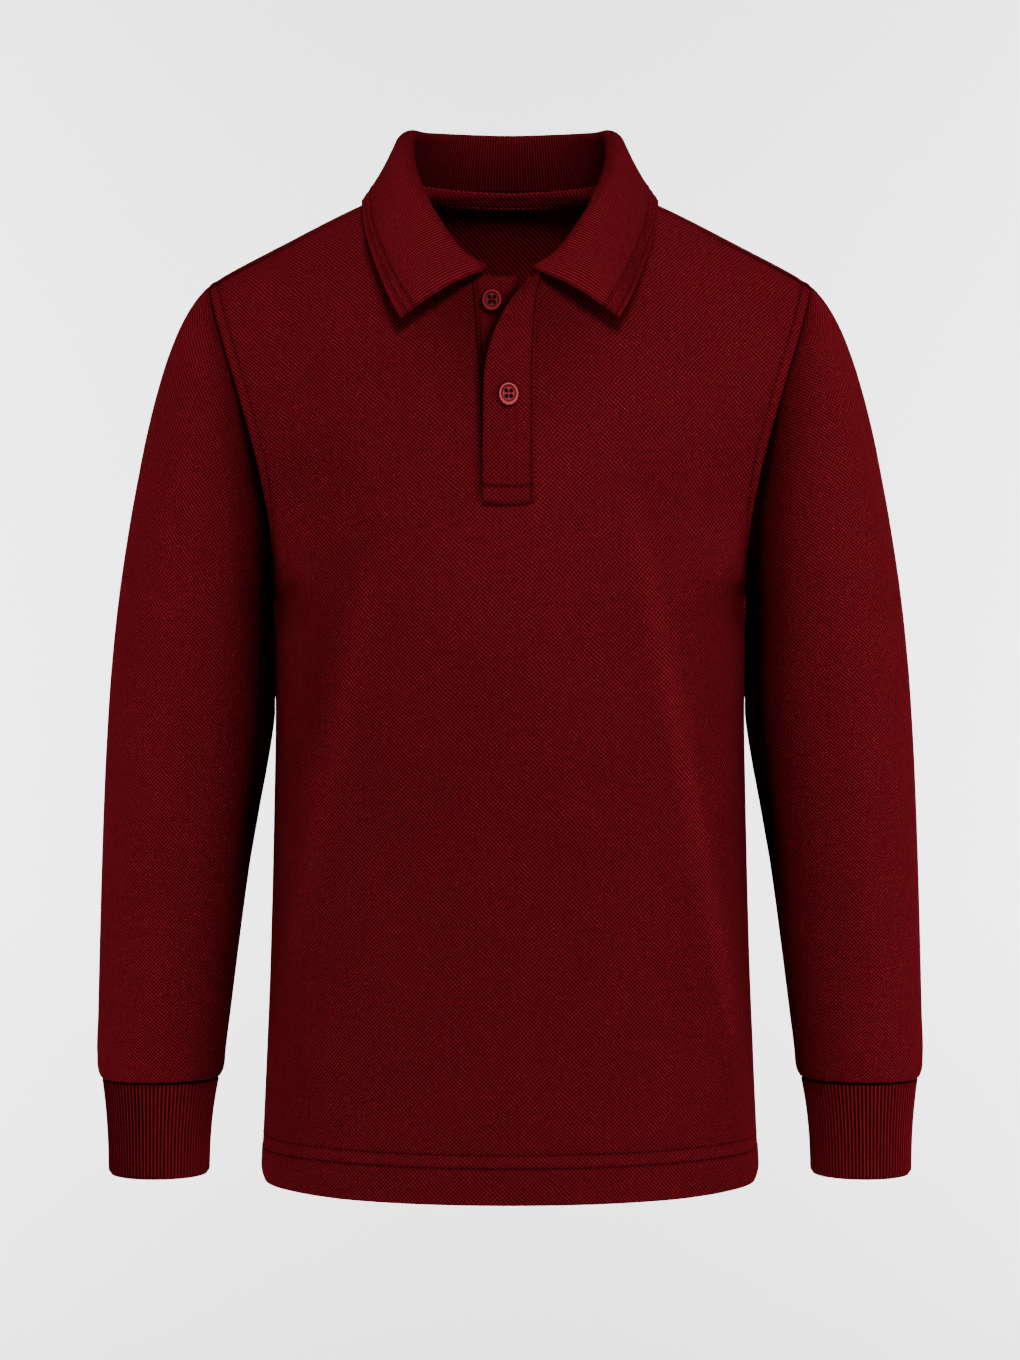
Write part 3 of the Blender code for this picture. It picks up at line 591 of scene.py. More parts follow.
def panel_half(side):
    """The grid of a panel's right half, with rows from the hem up and columns from the middle."""
    angles = FRONT_NECK_ANGLES if side == "front" else BACK_NECK_ANGLES
    neck_end = len(angles) - 1
    columns = []
    for index, share in enumerate(panel_columns()):
        top = column_top(side, index, share)
        points = [torso_point(side, share, height) for height in LOWER_ROWS]
        rise = top - UNDERARM_HEIGHT
        upper = [torso_point(side, share, UNDERARM_HEIGHT + rise * row) for row in UPPER_ROWS]
        rows = list(UPPER_ROWS)
        if side == "front" and index >= neck_end:
            upper[-1] = torso_point(side, share, top - SEAM_BELOW_RIDGE)
        if side == "back":
            # The back runs over the ridge, to the shoulder seam on the front.
            for part in (0.35, 1.0):
                if index < neck_end:
                    upper.append(torso_point(side, share, top + 2.0 * part))
                else:
                    upper.append(torso_point("front", share, top - SEAM_BELOW_RIDGE * part))
                    upper[-1][1] += SEAM_GAP
                rows.append(1.0 + 0.02 * part)
        # The cloth bends to meet the neck seam, and the bend dies away along the shoulder.
        if index <= neck_end:
            miss = neck_point(angles[index]) - upper[-1]
        if side == "back" and index == neck_end:
            miss += np.array([0.0, SEAM_GAP, SEAM_GAP])
        reach = max(0.0, 1.0 - max(0.0, share - NECK_COLUMNS[-1]) / 0.2)
        for point, row in zip(upper, rows):
            point += miss * reach**2 * (row / rows[-1]) ** 5
        columns.append(points + upper)
    return np.array(columns).transpose(1, 0, 2)


def eased(half):
    """The back's right half with its depths evened out below the corner of the neck opening."""
    first, last = len(LOWER_ROWS) + 2, half.shape[0] - 6
    for _ in range(EASING_PASSES):
        for c in range(len(NECK_COLUMNS) - 4, len(NECK_COLUMNS) + 4):
            before, here, after = (half[first:last, i] for i in (c - 1, c, c + 1))
            part = (here[:, 0] - before[:, 0]) / (after[:, 0] - before[:, 0])
            here[:, 1] += 0.5 * (before[:, 1] + (after[:, 1] - before[:, 1]) * part - here[:, 1])
    return half


def whole_panel(side):
    """Both halves, with columns from the wearer's right to the wearer's left as seen from the front."""
    half = panel_half(side) if side == "front" else eased(panel_half(side))
    grid = np.concatenate([mirrored(half)[:, :0:-1], half], axis=1)
    return grid if side == "front" else grid[:, ::-1]


def foot_row():
    """The row of the front that the slot stops at."""
    return len(LOWER_ROWS) + int(np.searchsorted(UPPER_ROWS, SLOT_FOOT))


def with_foot_row(grid):
    """The front with a row more, on straight lines between its neighbours, at the slot's foot."""
    above = foot_row()
    low, high = UPPER_ROWS[above - len(LOWER_ROWS) - 1], UPPER_ROWS[above - len(LOWER_ROWS)]
    part = (SLOT_FOOT - low) / (high - low)
    return np.insert(grid, above, grid[above - 1] * (1.0 - part) + grid[above] * part, axis=0)


def slanted_to_the_placket(grid):
    """The front with its middle columns moved sideways, as the open placket pulls them."""
    foot = foot_row()
    middle = grid.shape[1] // 2
    moved = grid.copy()
    for r in range(grid.shape[0]):
        up = (r - foot) / (grid.shape[0] - 1 - foot)
        shift = np.interp(up, (-0.6, 0.0, 1.0), (0.0, *SLOT_SHIFTS))
        for c in range(grid.shape[1]):
            away = abs(c - middle)
            moved[r, c, 0] += shift * max(0.0, 1.0 - away / SLOT_REACH)
    return moved


def front_rows():
    """The shares of the front's rows, from the underarm to the neckline."""
    return sorted((*UPPER_ROWS, SLOT_FOOT))


def between_rows(grid, places, at):
    """One row more of a grid, on straight lines between the rows at these places."""
    columns = grid.transpose(1, 2, 0)
    return np.array([[np.interp(at, places, line) for line in column] for column in columns])


def across(row, xs):
    """Points at these x along a row."""
    return np.array([xs, np.interp(xs, row[:, 0], row[:, 1]), np.interp(xs, row[:, 0], row[:, 2])]).T


def rounded(turn, squareness):
    """Cosine and sine of a slightly squared circle."""
    c, s = math.cos(turn), math.sin(turn)
    size = (abs(c) ** squareness + abs(s) ** squareness) ** (-1.0 / squareness)
    return c * size, s * size


def armhole_ring(turns, onward):
    """The first ring of a sleeve, on the panels' edges, a seam's gap towards the next ring."""
    ring = []
    for turn in turns:
        share = (1.0 + math.cos(turn)) / 2
        height = UNDERARM_HEIGHT + (SHOULDER_TIP[1] - UNDERARM_HEIGHT) * share
        side = "front" if math.sin(turn) > 0 else "back"
        depth = ARMHOLE_DEPTHS[side] * math.sin(turn)
        ring.append(np.array([edge_width(side, height), -depth, height]))
    apart = np.array([2 * SEAM_GAP, 0.0, 0.0])
    return np.array([p + unit(q - p) * SEAM_GAP + apart for p, q in zip(ring, onward)])


def sleeve_rings(turns):
    """The left sleeve, ring by ring from the armhole down, with a point at each of these turns."""
    rings = []
    for index, (near, far, middle, depth) in enumerate(SLEEVE_RINGS, start=1):
        near, far = np.array(near), np.array(far)
        bow = max(0.0, 1.0 - index / BOW_FADE_RINGS) ** 2
        settled = min(1.0, index / BOW_FADE_RINGS)
        ring = []
        for turn in turns:
            along, out = rounded(turn, 2.0 + (SLEEVE_SQUARENESS - 2.0) * settled)
            x, z = (near + far) / 2 + (far - near) / 2 * along
            side = "front" if math.sin(turn) > 0 else "back"
            share = (1.0 + math.cos(turn)) / 2
            ring.append([x - bow * armhole_bow(side, share), middle - depth * out, z])
        rings.append(np.array(ring))
    return np.array([armhole_ring(turns, rings[0])] + rings)


# ---------------------------------------------------------------- finer cloth


def run_along(line):
    """How far along a line of points each of them lies."""
    return np.concatenate([[0.0], np.cumsum(np.linalg.norm(np.diff(line, axis=0), axis=1))])


def at_place(at, places, line):
    """The point at a place along a line of points."""
    return np.array([np.interp(at, places, values) for values in line.T])


def hermite(t, start, leaving, end, arriving):
    """The smooth curve between two values with these slopes."""
    return (
        start * (2 * t**3 - 3 * t**2 + 1)
        + leaving * (t**3 - 2 * t**2 + t)
        + end * (3 * t**2 - 2 * t**3)
        + arriving * (t**3 - t**2)
    )


def line_spacing(grid, axis):
    """The lines of a grid and the mean step between them."""
    lines = np.moveaxis(grid, axis, 0)
    return lines, np.linalg.norm(np.diff(lines, axis=0), axis=2).mean(axis=1)


def finer(grid, axis, parts, corners=()):
    """The grid on smooth curves through its lines, with each span cut into its number of parts.

    A corner is a line that the last row turns sharply at, so nothing is rounded over it there. It
    also gives the place of each new line, counted in the first grid's lines.
    """
    lines, steps = line_spacing(grid, axis)
    knots = np.concatenate([[0.0], np.cumsum(steps)])
    slopes = np.gradient(lines, knots, axis=0)
    leaving, arriving = slopes.copy(), slopes.copy()
    sharp = (np.linspace(0.0, 1.0, lines.shape[1]) ** 24)[:, None]
    for corner in corners:
        before = (lines[corner] - lines[corner - 1]) / steps[corner - 1]
        after = (lines[corner + 1] - lines[corner]) / steps[corner]
        arriving[corner] += (before - slopes[corner]) * sharp
        leaving[corner] += (after - slopes[corner]) * sharp
    made, places = [], []
    for i, count in enumerate(parts):
        for part in range(count):
            t = part / count
            ways = leaving[i] * steps[i], arriving[i + 1] * steps[i]
            made.append(hermite(t, lines[i], ways[0], lines[i + 1], ways[1]))
            places.append(i + t)
    made.append(lines[-1])
    places.append(len(lines) - 1.0)
    return np.moveaxis(np.array(made), 0, axis), np.array(places)


def parts_for(grid, axis, step, close=()):
    """How many parts each span of a grid is cut into, for a step of about this size."""
    _, steps = line_spacing(grid, axis)
    counts = [max(1, math.ceil(length / step)) for length in steps]
    for span, small in close:
        counts[span] = max(1, math.ceil(steps[span] / small))
    return counts


def distance_in(grid, edge):
    """How far each point lies from one edge of the grid, measured along the cloth."""
    axis = 0 if edge.endswith("row") else 1
    steps = np.linalg.norm(np.diff(grid, axis=axis), axis=2)
    far = np.concatenate([np.zeros_like(steps.take([0], axis=axis)), np.cumsum(steps, axis=axis)], axis=axis)
    return far if edge.startswith("first") else far.take([-1], axis=axis) - far


def line_in(grid, edge, distance):
    """The points and the outward directions along a line at a distance in from an edge."""
    far, normals = distance_in(grid, edge), normals_of(grid)
    if edge.endswith("row"):
        far, grid, normals = far.T, grid.transpose(1, 0, 2), normals.transpose(1, 0, 2)
    if edge.startswith("last"):
        far, grid, normals = far[:, ::-1], grid[:, ::-1], normals[:, ::-1]
    both = np.concatenate([grid, normals], axis=2)
    found = np.array([at_place(distance, places, line) for places, line in zip(far, both)])
    return found[:, :3], found[:, 3:]


def moved_out(grid, amount, closed=False):
    """The grid moved along its outward directions."""
    return grid + normals_of(grid, closed) * amount[..., None]


def line_at(distance, at, width):
    """A soft line at a distance: 1 on it, dying away to each side."""
    return np.exp(-(((distance - at) / width) ** 2))


def groove(distance, at, width, depth):
    return -depth * line_at(distance, at, width)


def fade(distance, at, width):
    """1 before a place and 0 past it, changing softly."""
    return 1.0 / (1.0 + np.exp(np.clip((distance - at) / width, -30.0, 30.0)))


def rolled_in(distance, reach, depth):
    """The cloth's edge turning in towards a seam."""
    return -depth * np.clip(1.0 - distance / reach, 0.0, 1.0) ** 2


def seam_band(distance, width, height):
    """A low band beside a seam, over the cloth turned in there, with its stitch line's groove."""
    return height * fade(distance, width, 0.5) + groove(distance, width + 0.6, 0.9, 0.45)


def folds_on(grid, folds):
    """Soft troughs and ridges: each a stroke between two places of the front view."""
    total = np.zeros(grid.shape[:2])
    x, z = grid[:, :, 0], grid[:, :, 2]
    for x0, z0, x1, z1, width, height in folds:
        along = np.array([x1 - x0, z1 - z0])
        length = np.linalg.norm(along)
        along = along / length
        near = np.clip((x - x0) * along[0] + (z - z0) * along[1], 0.0, length)
        away = np.hypot(x - x0 - near * along[0], z - z0 - near * along[1])
        ends = np.sin(math.pi * np.clip(near / length * 0.84 + 0.08, 0.0, 1.0))
        total += height * ends * line_at(away, 0.0, width)
    return total


# ---------------------------------------------------------------- pieces


def only(piece):
    """This piece alone selected and active."""
    bpy.ops.object.select_all(action="DESELECT")
    piece.select_set(True)
    bpy.context.view_layer.objects.active = piece


def with_modifier(piece, kind, **settings):
    """A modifier added and applied."""
    only(piece)
    made = piece.modifiers.new(kind.lower(), kind)
    for name, value in settings.items():
        setattr(made, name, value)
    bpy.ops.object.modifier_apply(modifier=made.name)


def new_piece(name, points, faces, material):
    mesh = bpy.data.meshes.new(name)
    mesh.from_pydata((np.asarray(points) * MM).tolist(), [], faces)
    mesh.materials.append(MATERIALS[material])
    return placed(name, mesh)


def softened(piece, width, segments, bevelled, sharp):
    """Rounds the edges that turn by more than an angle, and shades all but the sharp ones smooth."""
    if width:
        angle = math.radians(bevelled)
        settings = {"segments": segments, "limit_method": "ANGLE", "angle_limit": angle}
        with_modifier(piece, "BEVEL", width=width * MM, **settings)
    piece.data.shade_smooth()
    piece.data.set_sharp_from_angle(angle=math.radians(sharp))


def paint_shading(piece, painted_shading):
    """Gives each point of a piece its painted shade, or below nought its painted light."""
    piece.data.attributes.new("painted_shading", "FLOAT", "POINT").data.foreach_set("value", painted_shading)


def unwrap(piece, closed, low, high, length):
    """Unwraps a piece flat, set upright and to size by two points of its middle column."""
    mesh = piece.data
    if closed:
        # Cut along the first column, which the closed grid repeats
        for edge in mesh.edges:
            edge.use_seam = all(vertex % closed == 0 for vertex in edge.vertices)
    only(piece)
    bpy.ops.object.mode_set(mode="EDIT")
    bpy.ops.mesh.select_all(action="SELECT")
    bpy.ops.uv.unwrap(method="CONFORMAL", margin=0.0)
    bpy.ops.object.mode_set(mode="OBJECT")
    flat = np.empty(2 * len(mesh.loops))
    mesh.uv_layers["cloth"].data.foreach_get("uv", flat)
    flat = flat.reshape(-1, 2)
    corners = np.empty(len(mesh.loops), dtype=int)
    mesh.loops.foreach_get("vertex_index", corners)
    start, end = (flat[np.flatnonzero(corners == vertex)[0]] for vertex in (low, high))
    up = end - start
    size = length * MM / np.linalg.norm(up)
    up = unit(up)
    turned = (flat - start) @ np.array([[up[1], up[0]], [-up[0], up[1]]]) * size
    mesh.uv_layers["cloth"].data.foreach_set("uv", turned.ravel())


def shell(
    name,
    grid,
    wall,
    material,
    closed=False,
    left_out=None,
    edge=0.35,
    even=False,
    inside=None,
    curved=False,
    widths=None,
    painted_shading=None,
):
    """A shell of cloth on a grid of its outer points, with a map in metres of the flat cloth.

    Where it is even, the map is as wide in each row, so that ribs follow the columns. Where it is
    curved, the map is unwrapped from the form, so that the knit isn't sheared. Widths are the places
    of the columns on the map, where they are given. The last argument is the painted shade at each
    point, and below nought the painted light.
    """
    rows, columns = grid.shape[:2]
    count = columns - 1 if closed else columns
    corners = []
    for r in range(rows - 1):
        for c in range(columns - 1):
            if not (left_out and left_out(r, c)):
                corners.append(((r, c), (r, c + 1), (r + 1, c + 1), (r + 1, c)))
    faces = [[r * count + c % count for r, c in face] for face in corners]
    points = grid[:, :count].reshape(-1, 3)
    used = np.unique(np.array(faces))
    order = np.full(len(points), -1)
    order[used] = np.arange(len(used))
    piece = new_piece(name, points[used], [[int(order[i]) for i in face] for face in faces], material)
    # Each point's painted shade, and below nought its painted light
    if painted_shading is not None:
        paint_shading(piece, np.clip(painted_shading, -1.0, 0.97)[:, :count].reshape(-1)[used])
    middle = (columns - 1) // 2
    along = distance_in(grid, "first_row")
    layer = piece.data.uv_layers.new(name="cloth")
    if curved:
        high = rows // 2
        ends = order[middle], order[high * count + middle]
        unwrap(piece, count if closed else 0, *ends, along[high, middle])
    else:
        across = distance_in(grid, "first_column")
        if widths is not None:
            across = np.broadcast_to(widths, across.shape)
        else:
            if even:
                across = np.broadcast_to(across.mean(axis=0), across.shape)
            across = across - across[:, middle : middle + 1]
        flat = np.array([[across[r, c], along[r, c]] for face in corners for r, c in face]) * MM
        layer.data.foreach_set("uv", flat.ravel())
    if inside:
        piece.data.materials.append(MATERIALS[inside])
    with_modifier(piece, "SOLIDIFY", thickness=wall * MM, offset=-1.0, material_offset=1 if inside else 0)
    softened(piece, edge, segments=2, bevelled=60, sharp=60)
    return piece


def declare(piece, node_name, stitching=()):
    """Hangs the piece and its stitching on the root, and hides the part that it stands for."""
    for item in (piece, *stitching):
        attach(item, "root")
    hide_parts(node_name)


def stitches(name, lines, length=2.5, gap=0.6, radius=0.26, sunk=0.05, material="thread"):
    """Rows of stitches along lines, each a small spindle of thread lying on the cloth."""
    points, faces = [], []
    for path, normals in lines:
        run = run_along(path)
        for i in range(int(run[-1] / (length + gap))):
            places = i * (length + gap), i * (length + gap) + length
            start, end = (at_place(at, run, path) for at in places)
            up, up_end = (at_place(at, run, normals) for at in places)
            up = unit(up + up_end)
            side = unit(np.cross(end - start, up))
            first = len(points)
            points.append(start - up * radius)
            for share in (0.25, 0.75):
                middle = start + (end - start) * share - up * sunk
                for a, b in ((1, 0), (0, 1), (-1, 0), (0, -1)):
                    points.append(middle + (side * a + up * b) * radius)
            points.append(end - up * radius)
            for k in range(4):
                n = (k + 1) % 4
                faces.append([first, first + 1 + n, first + 1 + k])
                faces.append([first + 1 + k, first + 1 + n, first + 5 + n, first + 5 + k])
                faces.append([first + 9, first + 5 + k, first + 5 + n])
    piece = new_piece(name, points, faces, material)
    piece.data.shade_smooth()
    return piece


# ---------------------------------------------------------------- the body

CLOTH_STEP = 3.2
HEM_STEP = 0.65
HEM_LINES = (18.3, 25.1)  # up from the hem's edge
ARMHOLE_BAND = 5.0
ARMHOLE_LINE = ARMHOLE_BAND + 0.6  # the row of stitches beside the armhole
SIDE_EDGES = ("first_column", "last_column")
PLACKET_REACH = (-2.0, 16.0, -168.0)  # middle and half width of the flat cloth round it, and its foot

# start x, start z, end x, end z, width, height
FRONT_FOLDS = (
    (-62.0, -165.0, -112.0, -395.0, 8.0, 1.3),
    (62.0, -165.0, 118.0, -442.0, 7.0, 2.0),
    (-106.0, -245.0, -94.0, -315.0, 9.0, -0.8),
    (106.0, -245.0, 96.0, -320.0, 9.0, -0.8),
    (-30.0, -300.0, -44.0, -430.0, 16.0, -0.7),
    (52.0, -320.0, 62.0, -460.0, 15.0, -0.8),
    (4.0, -200.0, -8.0, -330.0, 18.0, 0.7),
    (-120.0, -60.0, -90.0, -150.0, 12.0, -0.5),
    (118.0, -70.0, 92.0, -150.0, 12.0, -0.5),
)
# The same, with how much paler the cloth is painted there instead of a height: painted light along
# the ridges, and painted shade where it is below nought
FRONT_RIDGE_PAINT = (
    (-62.0, -165.0, -126.0, -460.0, 5.5, 0.16),
    (-82.0, -190.0, -108.0, -300.0, 9.0, -0.14),
    (62.0, -165.0, 129.0, -497.0, 5.5, 0.40),
)
# Painted light along the back's ridges, the same way
BACK_RIDGE_PAINT = (
    (-96.0, -240.0, -104.0, -440.0, 6.0, 0.15),
    (100.0, -260.0, 108.0, -450.0, 6.0, 0.15),
)
BACK_FOLDS = (
    (-70.0, -60.0, -96.0, -220.0, 14.0, -0.9),
    (72.0, -64.0, 94.0, -210.0, 14.0, -0.9),
    (-36.0, -180.0, -48.0, -420.0, 16.0, -1.0),
    (40.0, -210.0, 60.0, -430.0, 17.0, -0.9),
    (2.0, -140.0, 6.0, -380.0, 20.0, 0.8),
    (-96.0, -240.0, -104.0, -440.0, 12.0, 1.0),
    (100.0, -260.0, 108.0, -450.0, 12.0, 1.0),
)


# Painted shade and light on the front. The collar's painted shadow: how dark on the wearer's right
# and left, then the middle's height, half width and half height of the dark place
COLLAR_SHADOW = (0.50, 0.36, -66.0, 48.0, 42.0)
# Painted shadow down the middle, painted light beside the sleeves (paler), and painted shadow along
# the placket's open edge: heights, strengths
MIDDLE_SHADOW = ((-300.0, -170.0), (0.13, 0.0))
SIDE_PAINTED_LIGHT = ((-480.0, -300.0, -235.0, -165.0), (0.28, 0.34, 0.55, 0.0))
OPEN_EDGE_SHADOW = ((-168.0, -160.0, -95.0, -80.0), (0.0, 0.8, 0.8, 0.0))
OPEN_EDGE = -14.9


def fine_panel(grid):
    """A panel at full fineness, and the places of its rows and columns in the first grid's."""
    middle, reach = grid.shape[1] // 2, len(NECK_COLUMNS) - 1
    corners = (middle - reach, middle + reach)
    columns = parts_for(grid, 1, CLOTH_STEP, [(0, 1.2), (grid.shape[1] - 2, 1.2)])
    grid, column_places = finer(grid, 1, columns, corners)
    rows = parts_for(grid, 0, CLOTH_STEP, [(0, HEM_STEP), (grid.shape[0] - 2, 0.8)])
    grid, row_places = finer(grid, 0, rows)
    return grid, row_places, column_places


def beside_armhole(places):
    """1 for the rows beside the armhole and 0 for those beside the side seam."""
    return np.clip((places - len(LOWER_ROWS) + 0.2) / 0.6, 0.0, 1.0)[:, None]


def panel_relief(grid, places, folds, shoulder):
    """The drape, the hem and the bands beside the seams of a panel."""
    hem, wide = distance_in(grid, "first_row"), np.abs(grid[:, :, 0])
    relief = folds_on(grid, folds) + 0.35 * fade(hem, HEM_LINES[0], 0.8)
    # Towards the side seams the hem's grooves run out and its edge turns in
    aside = np.clip((wide - 84.0) / 30.0, 0.0, 1.0)
    relief += (1.0 - aside) * sum(groove(hem, line, 0.7, 0.5) for line in HEM_LINES)
    relief += aside * rolled_in(hem, 9.0, 2.4)
    at_armhole = beside_armhole(places)
    for edge in SIDE_EDGES:
        side = distance_in(grid, edge)
        relief += at_armhole * (seam_band(side, ARMHOLE_BAND, 0.30) + rolled_in(side, 1.6, 0.5))
        relief += (1.0 - at_armhole) * rolled_in(side, 2.5, 0.7)
    seam = shoulder | (wide > NECK_POINT[0] - 2.0)
    return relief + rolled_in(distance_in(grid, "last_row"), 2.2, 0.9) * seam


def panel_shade(grid, places, ridges):
    """The painted shade and light of a panel: painted shade along its seams and rows of stitches,
    and painted light between the hem's rows and on its ridges.
    """
    hem = distance_in(grid, "first_row")
    painted_shading = 0.50 * line_at(hem, HEM_LINES[0], 0.7) + 0.35 * line_at(hem, HEM_LINES[1], 0.6)
    painted_shading -= 0.12 * line_at(hem, sum(HEM_LINES) / 2, 2.2) + folds_on(grid, ridges)
    for edge in SIDE_EDGES:
        side = distance_in(grid, edge)
        lines = 0.6 * line_at(side, 0.0, 0.7) + 0.40 * line_at(side, ARMHOLE_LINE, 0.7)
        painted_shading += beside_armhole(places) * lines
    return painted_shading


def front_shade(grid):
    """The painted shade and painted light on the front alone."""
    x, z = grid[:, :, 0], grid[:, :, 2]
    # Painted shade along the shoulder seams, and the collar's painted shadow
    painted_shading = 0.95 * line_at(distance_in(grid, "last_row"), 4.6, 1.2) * (np.abs(x) > NECK_POINT[0] - 2.0)
    right, left, height, wide, high = COLLAR_SHADOW
    painted_shading += np.where(x < 0.0, right, left) * line_at(x, 0.0, wide) * line_at(z, height, high)
    painted_shading += np.interp(z, *MIDDLE_SHADOW) * line_at(x, 0.0, 100.0)
    for edge in SIDE_EDGES:
        painted_shading -= np.interp(z, *SIDE_PAINTED_LIGHT) * line_at(distance_in(grid, edge), 12.0, 24.0)
    return painted_shading + np.interp(z, *OPEN_EDGE_SHADOW) * line_at(x, OPEN_EDGE, 1.6)


def panel_stitches(grid, places):
    """The hem's twin rows and the row beside each armhole."""
    lines = [line_in(grid, "first_row", line) for line in HEM_LINES]
    above = places >= len(LOWER_ROWS)
    for edge in SIDE_EDGES:
        path, normals = line_in(grid, edge, ARMHOLE_LINE)
        lines.append((path[above], normals[above]))
    return lines


def make_front():
    grid, places, columns = fine_panel(FRONT_GRID)
    foot, middle = foot_row(), FRONT_GRID.shape[1] // 2
    in_slot = np.abs(columns - middle) < 1.0

    def left_out(r, c):
        return places[r] > foot - 0.001 and in_slot[c] + in_slot[c + 1] > 0

    relief = panel_relief(grid, places, FRONT_FOLDS, shoulder=False)
    # The placket holds the cloth round it nearly flat
    at, reach, low = PLACKET_REACH
    relief *= 1.0 - 0.9 * line_at(grid[:, :, 0], at, reach) * (grid[:, :, 2] > low)
    grid = moved_out(grid, relief)
    painted_shading = panel_shade(grid, places, FRONT_RIDGE_PAINT) + front_shade(grid)
    piece = shell("front_panel", grid, CLOTH, "pique", left_out=left_out, curved=True, painted_shading=painted_shading)
    sewn = stitches("front_stitches", panel_stitches(grid, places), material="thread_painted_shade")
    declare(piece, "front", stitching=[sewn])
    return grid, places


def make_back():
    grid, places, _ = fine_panel(whole_panel("back"))
    grid = moved_out(grid, panel_relief(grid, places, BACK_FOLDS, shoulder=True))
    painted_shading = panel_shade(grid, places, BACK_RIDGE_PAINT)
    piece = shell("back_panel", grid, CLOTH, "pique", inside="pique_inside", curved=True, painted_shading=painted_shading)
    sewn = stitches("back_stitches", panel_stitches(grid, places), material="thread_painted_shade")
    declare(piece, "back", stitching=[sewn])
    return grid


# ---------------------------------------------------------------- sleeves and cuffs

FINE_TURNS = 132
SLEEVE_FOLDS = (
    (140.0, -225.0, 185.0, -150.0, 10.0, -0.8),
    (150.0, -200.0, 172.0, -320.0, 11.0, -0.8),
    (176.0, -240.0, 190.0, -400.0, 12.0, 0.8),
    (158.0, -330.0, 172.0, -440.0, 11.0, -0.7),
    (196.0, -320.0, 202.0, -430.0, 9.0, -0.6),
    (150.0, -452.0, 178.0, -448.0, 6.0, 0.6),
)


# The painted shade in the sleeve's valley beside the body: heights, how dark, and how far it reaches
VALLEY_PAINTED_SHADE = ((-460.0, -380.0, -310.0, -270.0, -150.0, -105.0), (0.15, 0.30, 0.80, 1.25, 0.85, 0.0))
VALLEY_REACH = ((-400.0, -270.0, -215.0, -150.0, -110.0), (6.0, 5.6, 5.0, 4.0, 2.5))
# Painted shade on its inner half, which is darker than its outer one
INNER_PAINTED_SHADE = ((-330.0, -230.0, -110.0), (0.22, 0.30, 0.60))
# Painted light on the sleeve's outer side
OUTER_PAINTED_LIGHT = 0.48
# Where the sleeve's inner side bulges towards the body below the underarm: heights, how far
BULGE = ((-348.0, -318.0, -290.0, -272.0, -258.0, -246.0), (0.0, 0.6, 1.6, 2.0, 1.2, 0.0))


def pair(grid, painted_shading):
    """The left piece of a pair and its mirror image, each ring closed by its first column again."""
    right = mirrored(grid)[:, ::-1], painted_shading[:, ::-1]
    for name, both in (("left", (grid, painted_shading)), ("right", right)):
        yield name, *(np.concatenate([rows, rows[:, :1]], axis=1) for rows in both)


def fine_sleeve():
    """The left sleeve with many points round each ring, from the seam under the arm."""
    turns = [math.pi + 2 * math.pi * i / FINE_TURNS for i in range(FINE_TURNS)]
    grid = sleeve_rings(turns)
    rows = parts_for(grid, 0, CLOTH_STEP, [(0, 1.0), (grid.shape[0] - 2, 0.8)])
    grid, _ = finer(grid, 0, rows)
    start, end = distance_in(grid, "first_row"), distance_in(grid, "last_row")
    relief = rolled_in(start, 3.0, 0.7) + rolled_in(end, 2.2, 0.7) + folds_on(grid, SLEEVE_FOLDS)
    # The head of the sleeve runs on along its own slope, in under the armhole's edge
    onward = grid[0] - grid[4]
    onward /= np.linalg.norm(onward, axis=1)[:, None]
    grid = grid + onward[None] * np.clip(1.1 - start / 3.6, 0.0, None)[:, :, None]
    grid = against_the_body(grid)
    # Small gathers where the sleeve is eased into the cuff
    turn = np.array(turns)[None, :]
    relief += 0.28 * np.exp(-(end / 9.0)) * (np.sin(17 * turn + 1.0) + 0.6 * np.sin(29 * turn))
    return moved_out(grid, relief, closed=True)


def body_edge(z):
    """How wide the body is beside each point of a sleeve."""
    return np.array([[edge_width("front", height) for height in row] for row in z])


def against_the_body(grid):
    """The inner side of a sleeve: hollowed in front, and pressed out behind where it meets the body."""
    x, y, z = (grid[:, :, k].copy() for k in range(3))
    beside = fade(z, -110.0, 14.0) * fade(z, -330.0, -16.0) * line_at(x, body_edge(z), 11.0)
    grid[:, :, 1] += 7.0 * beside * np.clip(-(y + 4.0) / 22.0, 0.0, 1.0)
    inside = x < 150.0
    low = fade(z, -214.0, 3.0) * fade(z, -262.0, -4.0)
    grid[:, :, 0] -= 5.2 * low * inside * line_at(y, 16.0, 9.0)
    grid[:, :, 0] -= np.interp(z, *BULGE) * inside * line_at(y, -3.0, 18.0)
    return grid


def sleeve_shade(grid):
    """Painted shade in the sleeve's valley beside the body and along its seams; painted light outside."""
    x, z = grid[:, :, 0], grid[:, :, 2]
    inner = np.maximum(body_edge(z), x.min(axis=1)[:, None])
    away = np.maximum(x - inner, 0.0)
    across = away / (x.max(axis=1)[:, None] - inner)
    depth, reach = np.interp(z, *VALLEY_PAINTED_SHADE), np.interp(z, *VALLEY_REACH)
    painted_shading = depth * (line_at(away, 0.0, reach) + 0.42 * line_at(away, 0.0, 2.8 * reach))
    painted_shading += np.interp(z, *INNER_PAINTED_SHADE) * np.clip(1.0 - across, 0.0, 1.0) ** 2
    painted_shading -= OUTER_PAINTED_LIGHT * np.clip(across, 0.0, 1.0) ** 3
    painted_shading += 0.2 * line_at(distance_in(grid, "last_row"), 0.0, 0.6)
    return painted_shading + 0.3 * line_at(distance_in(grid, "first_row"), 0.0, 0.8)


def make_sleeves():
    grid = fine_sleeve()
    for name, side, painted_shading in pair(grid, sleeve_shade(grid)):
        piece = shell(f"{name}_sleeve", side, CLOTH, "pique", closed=True, curved=True, painted_shading=painted_shading)
        declare(piece, f"sleeve_{name}")


RIB_POINTS = 6
CUFF_ROWS = 24


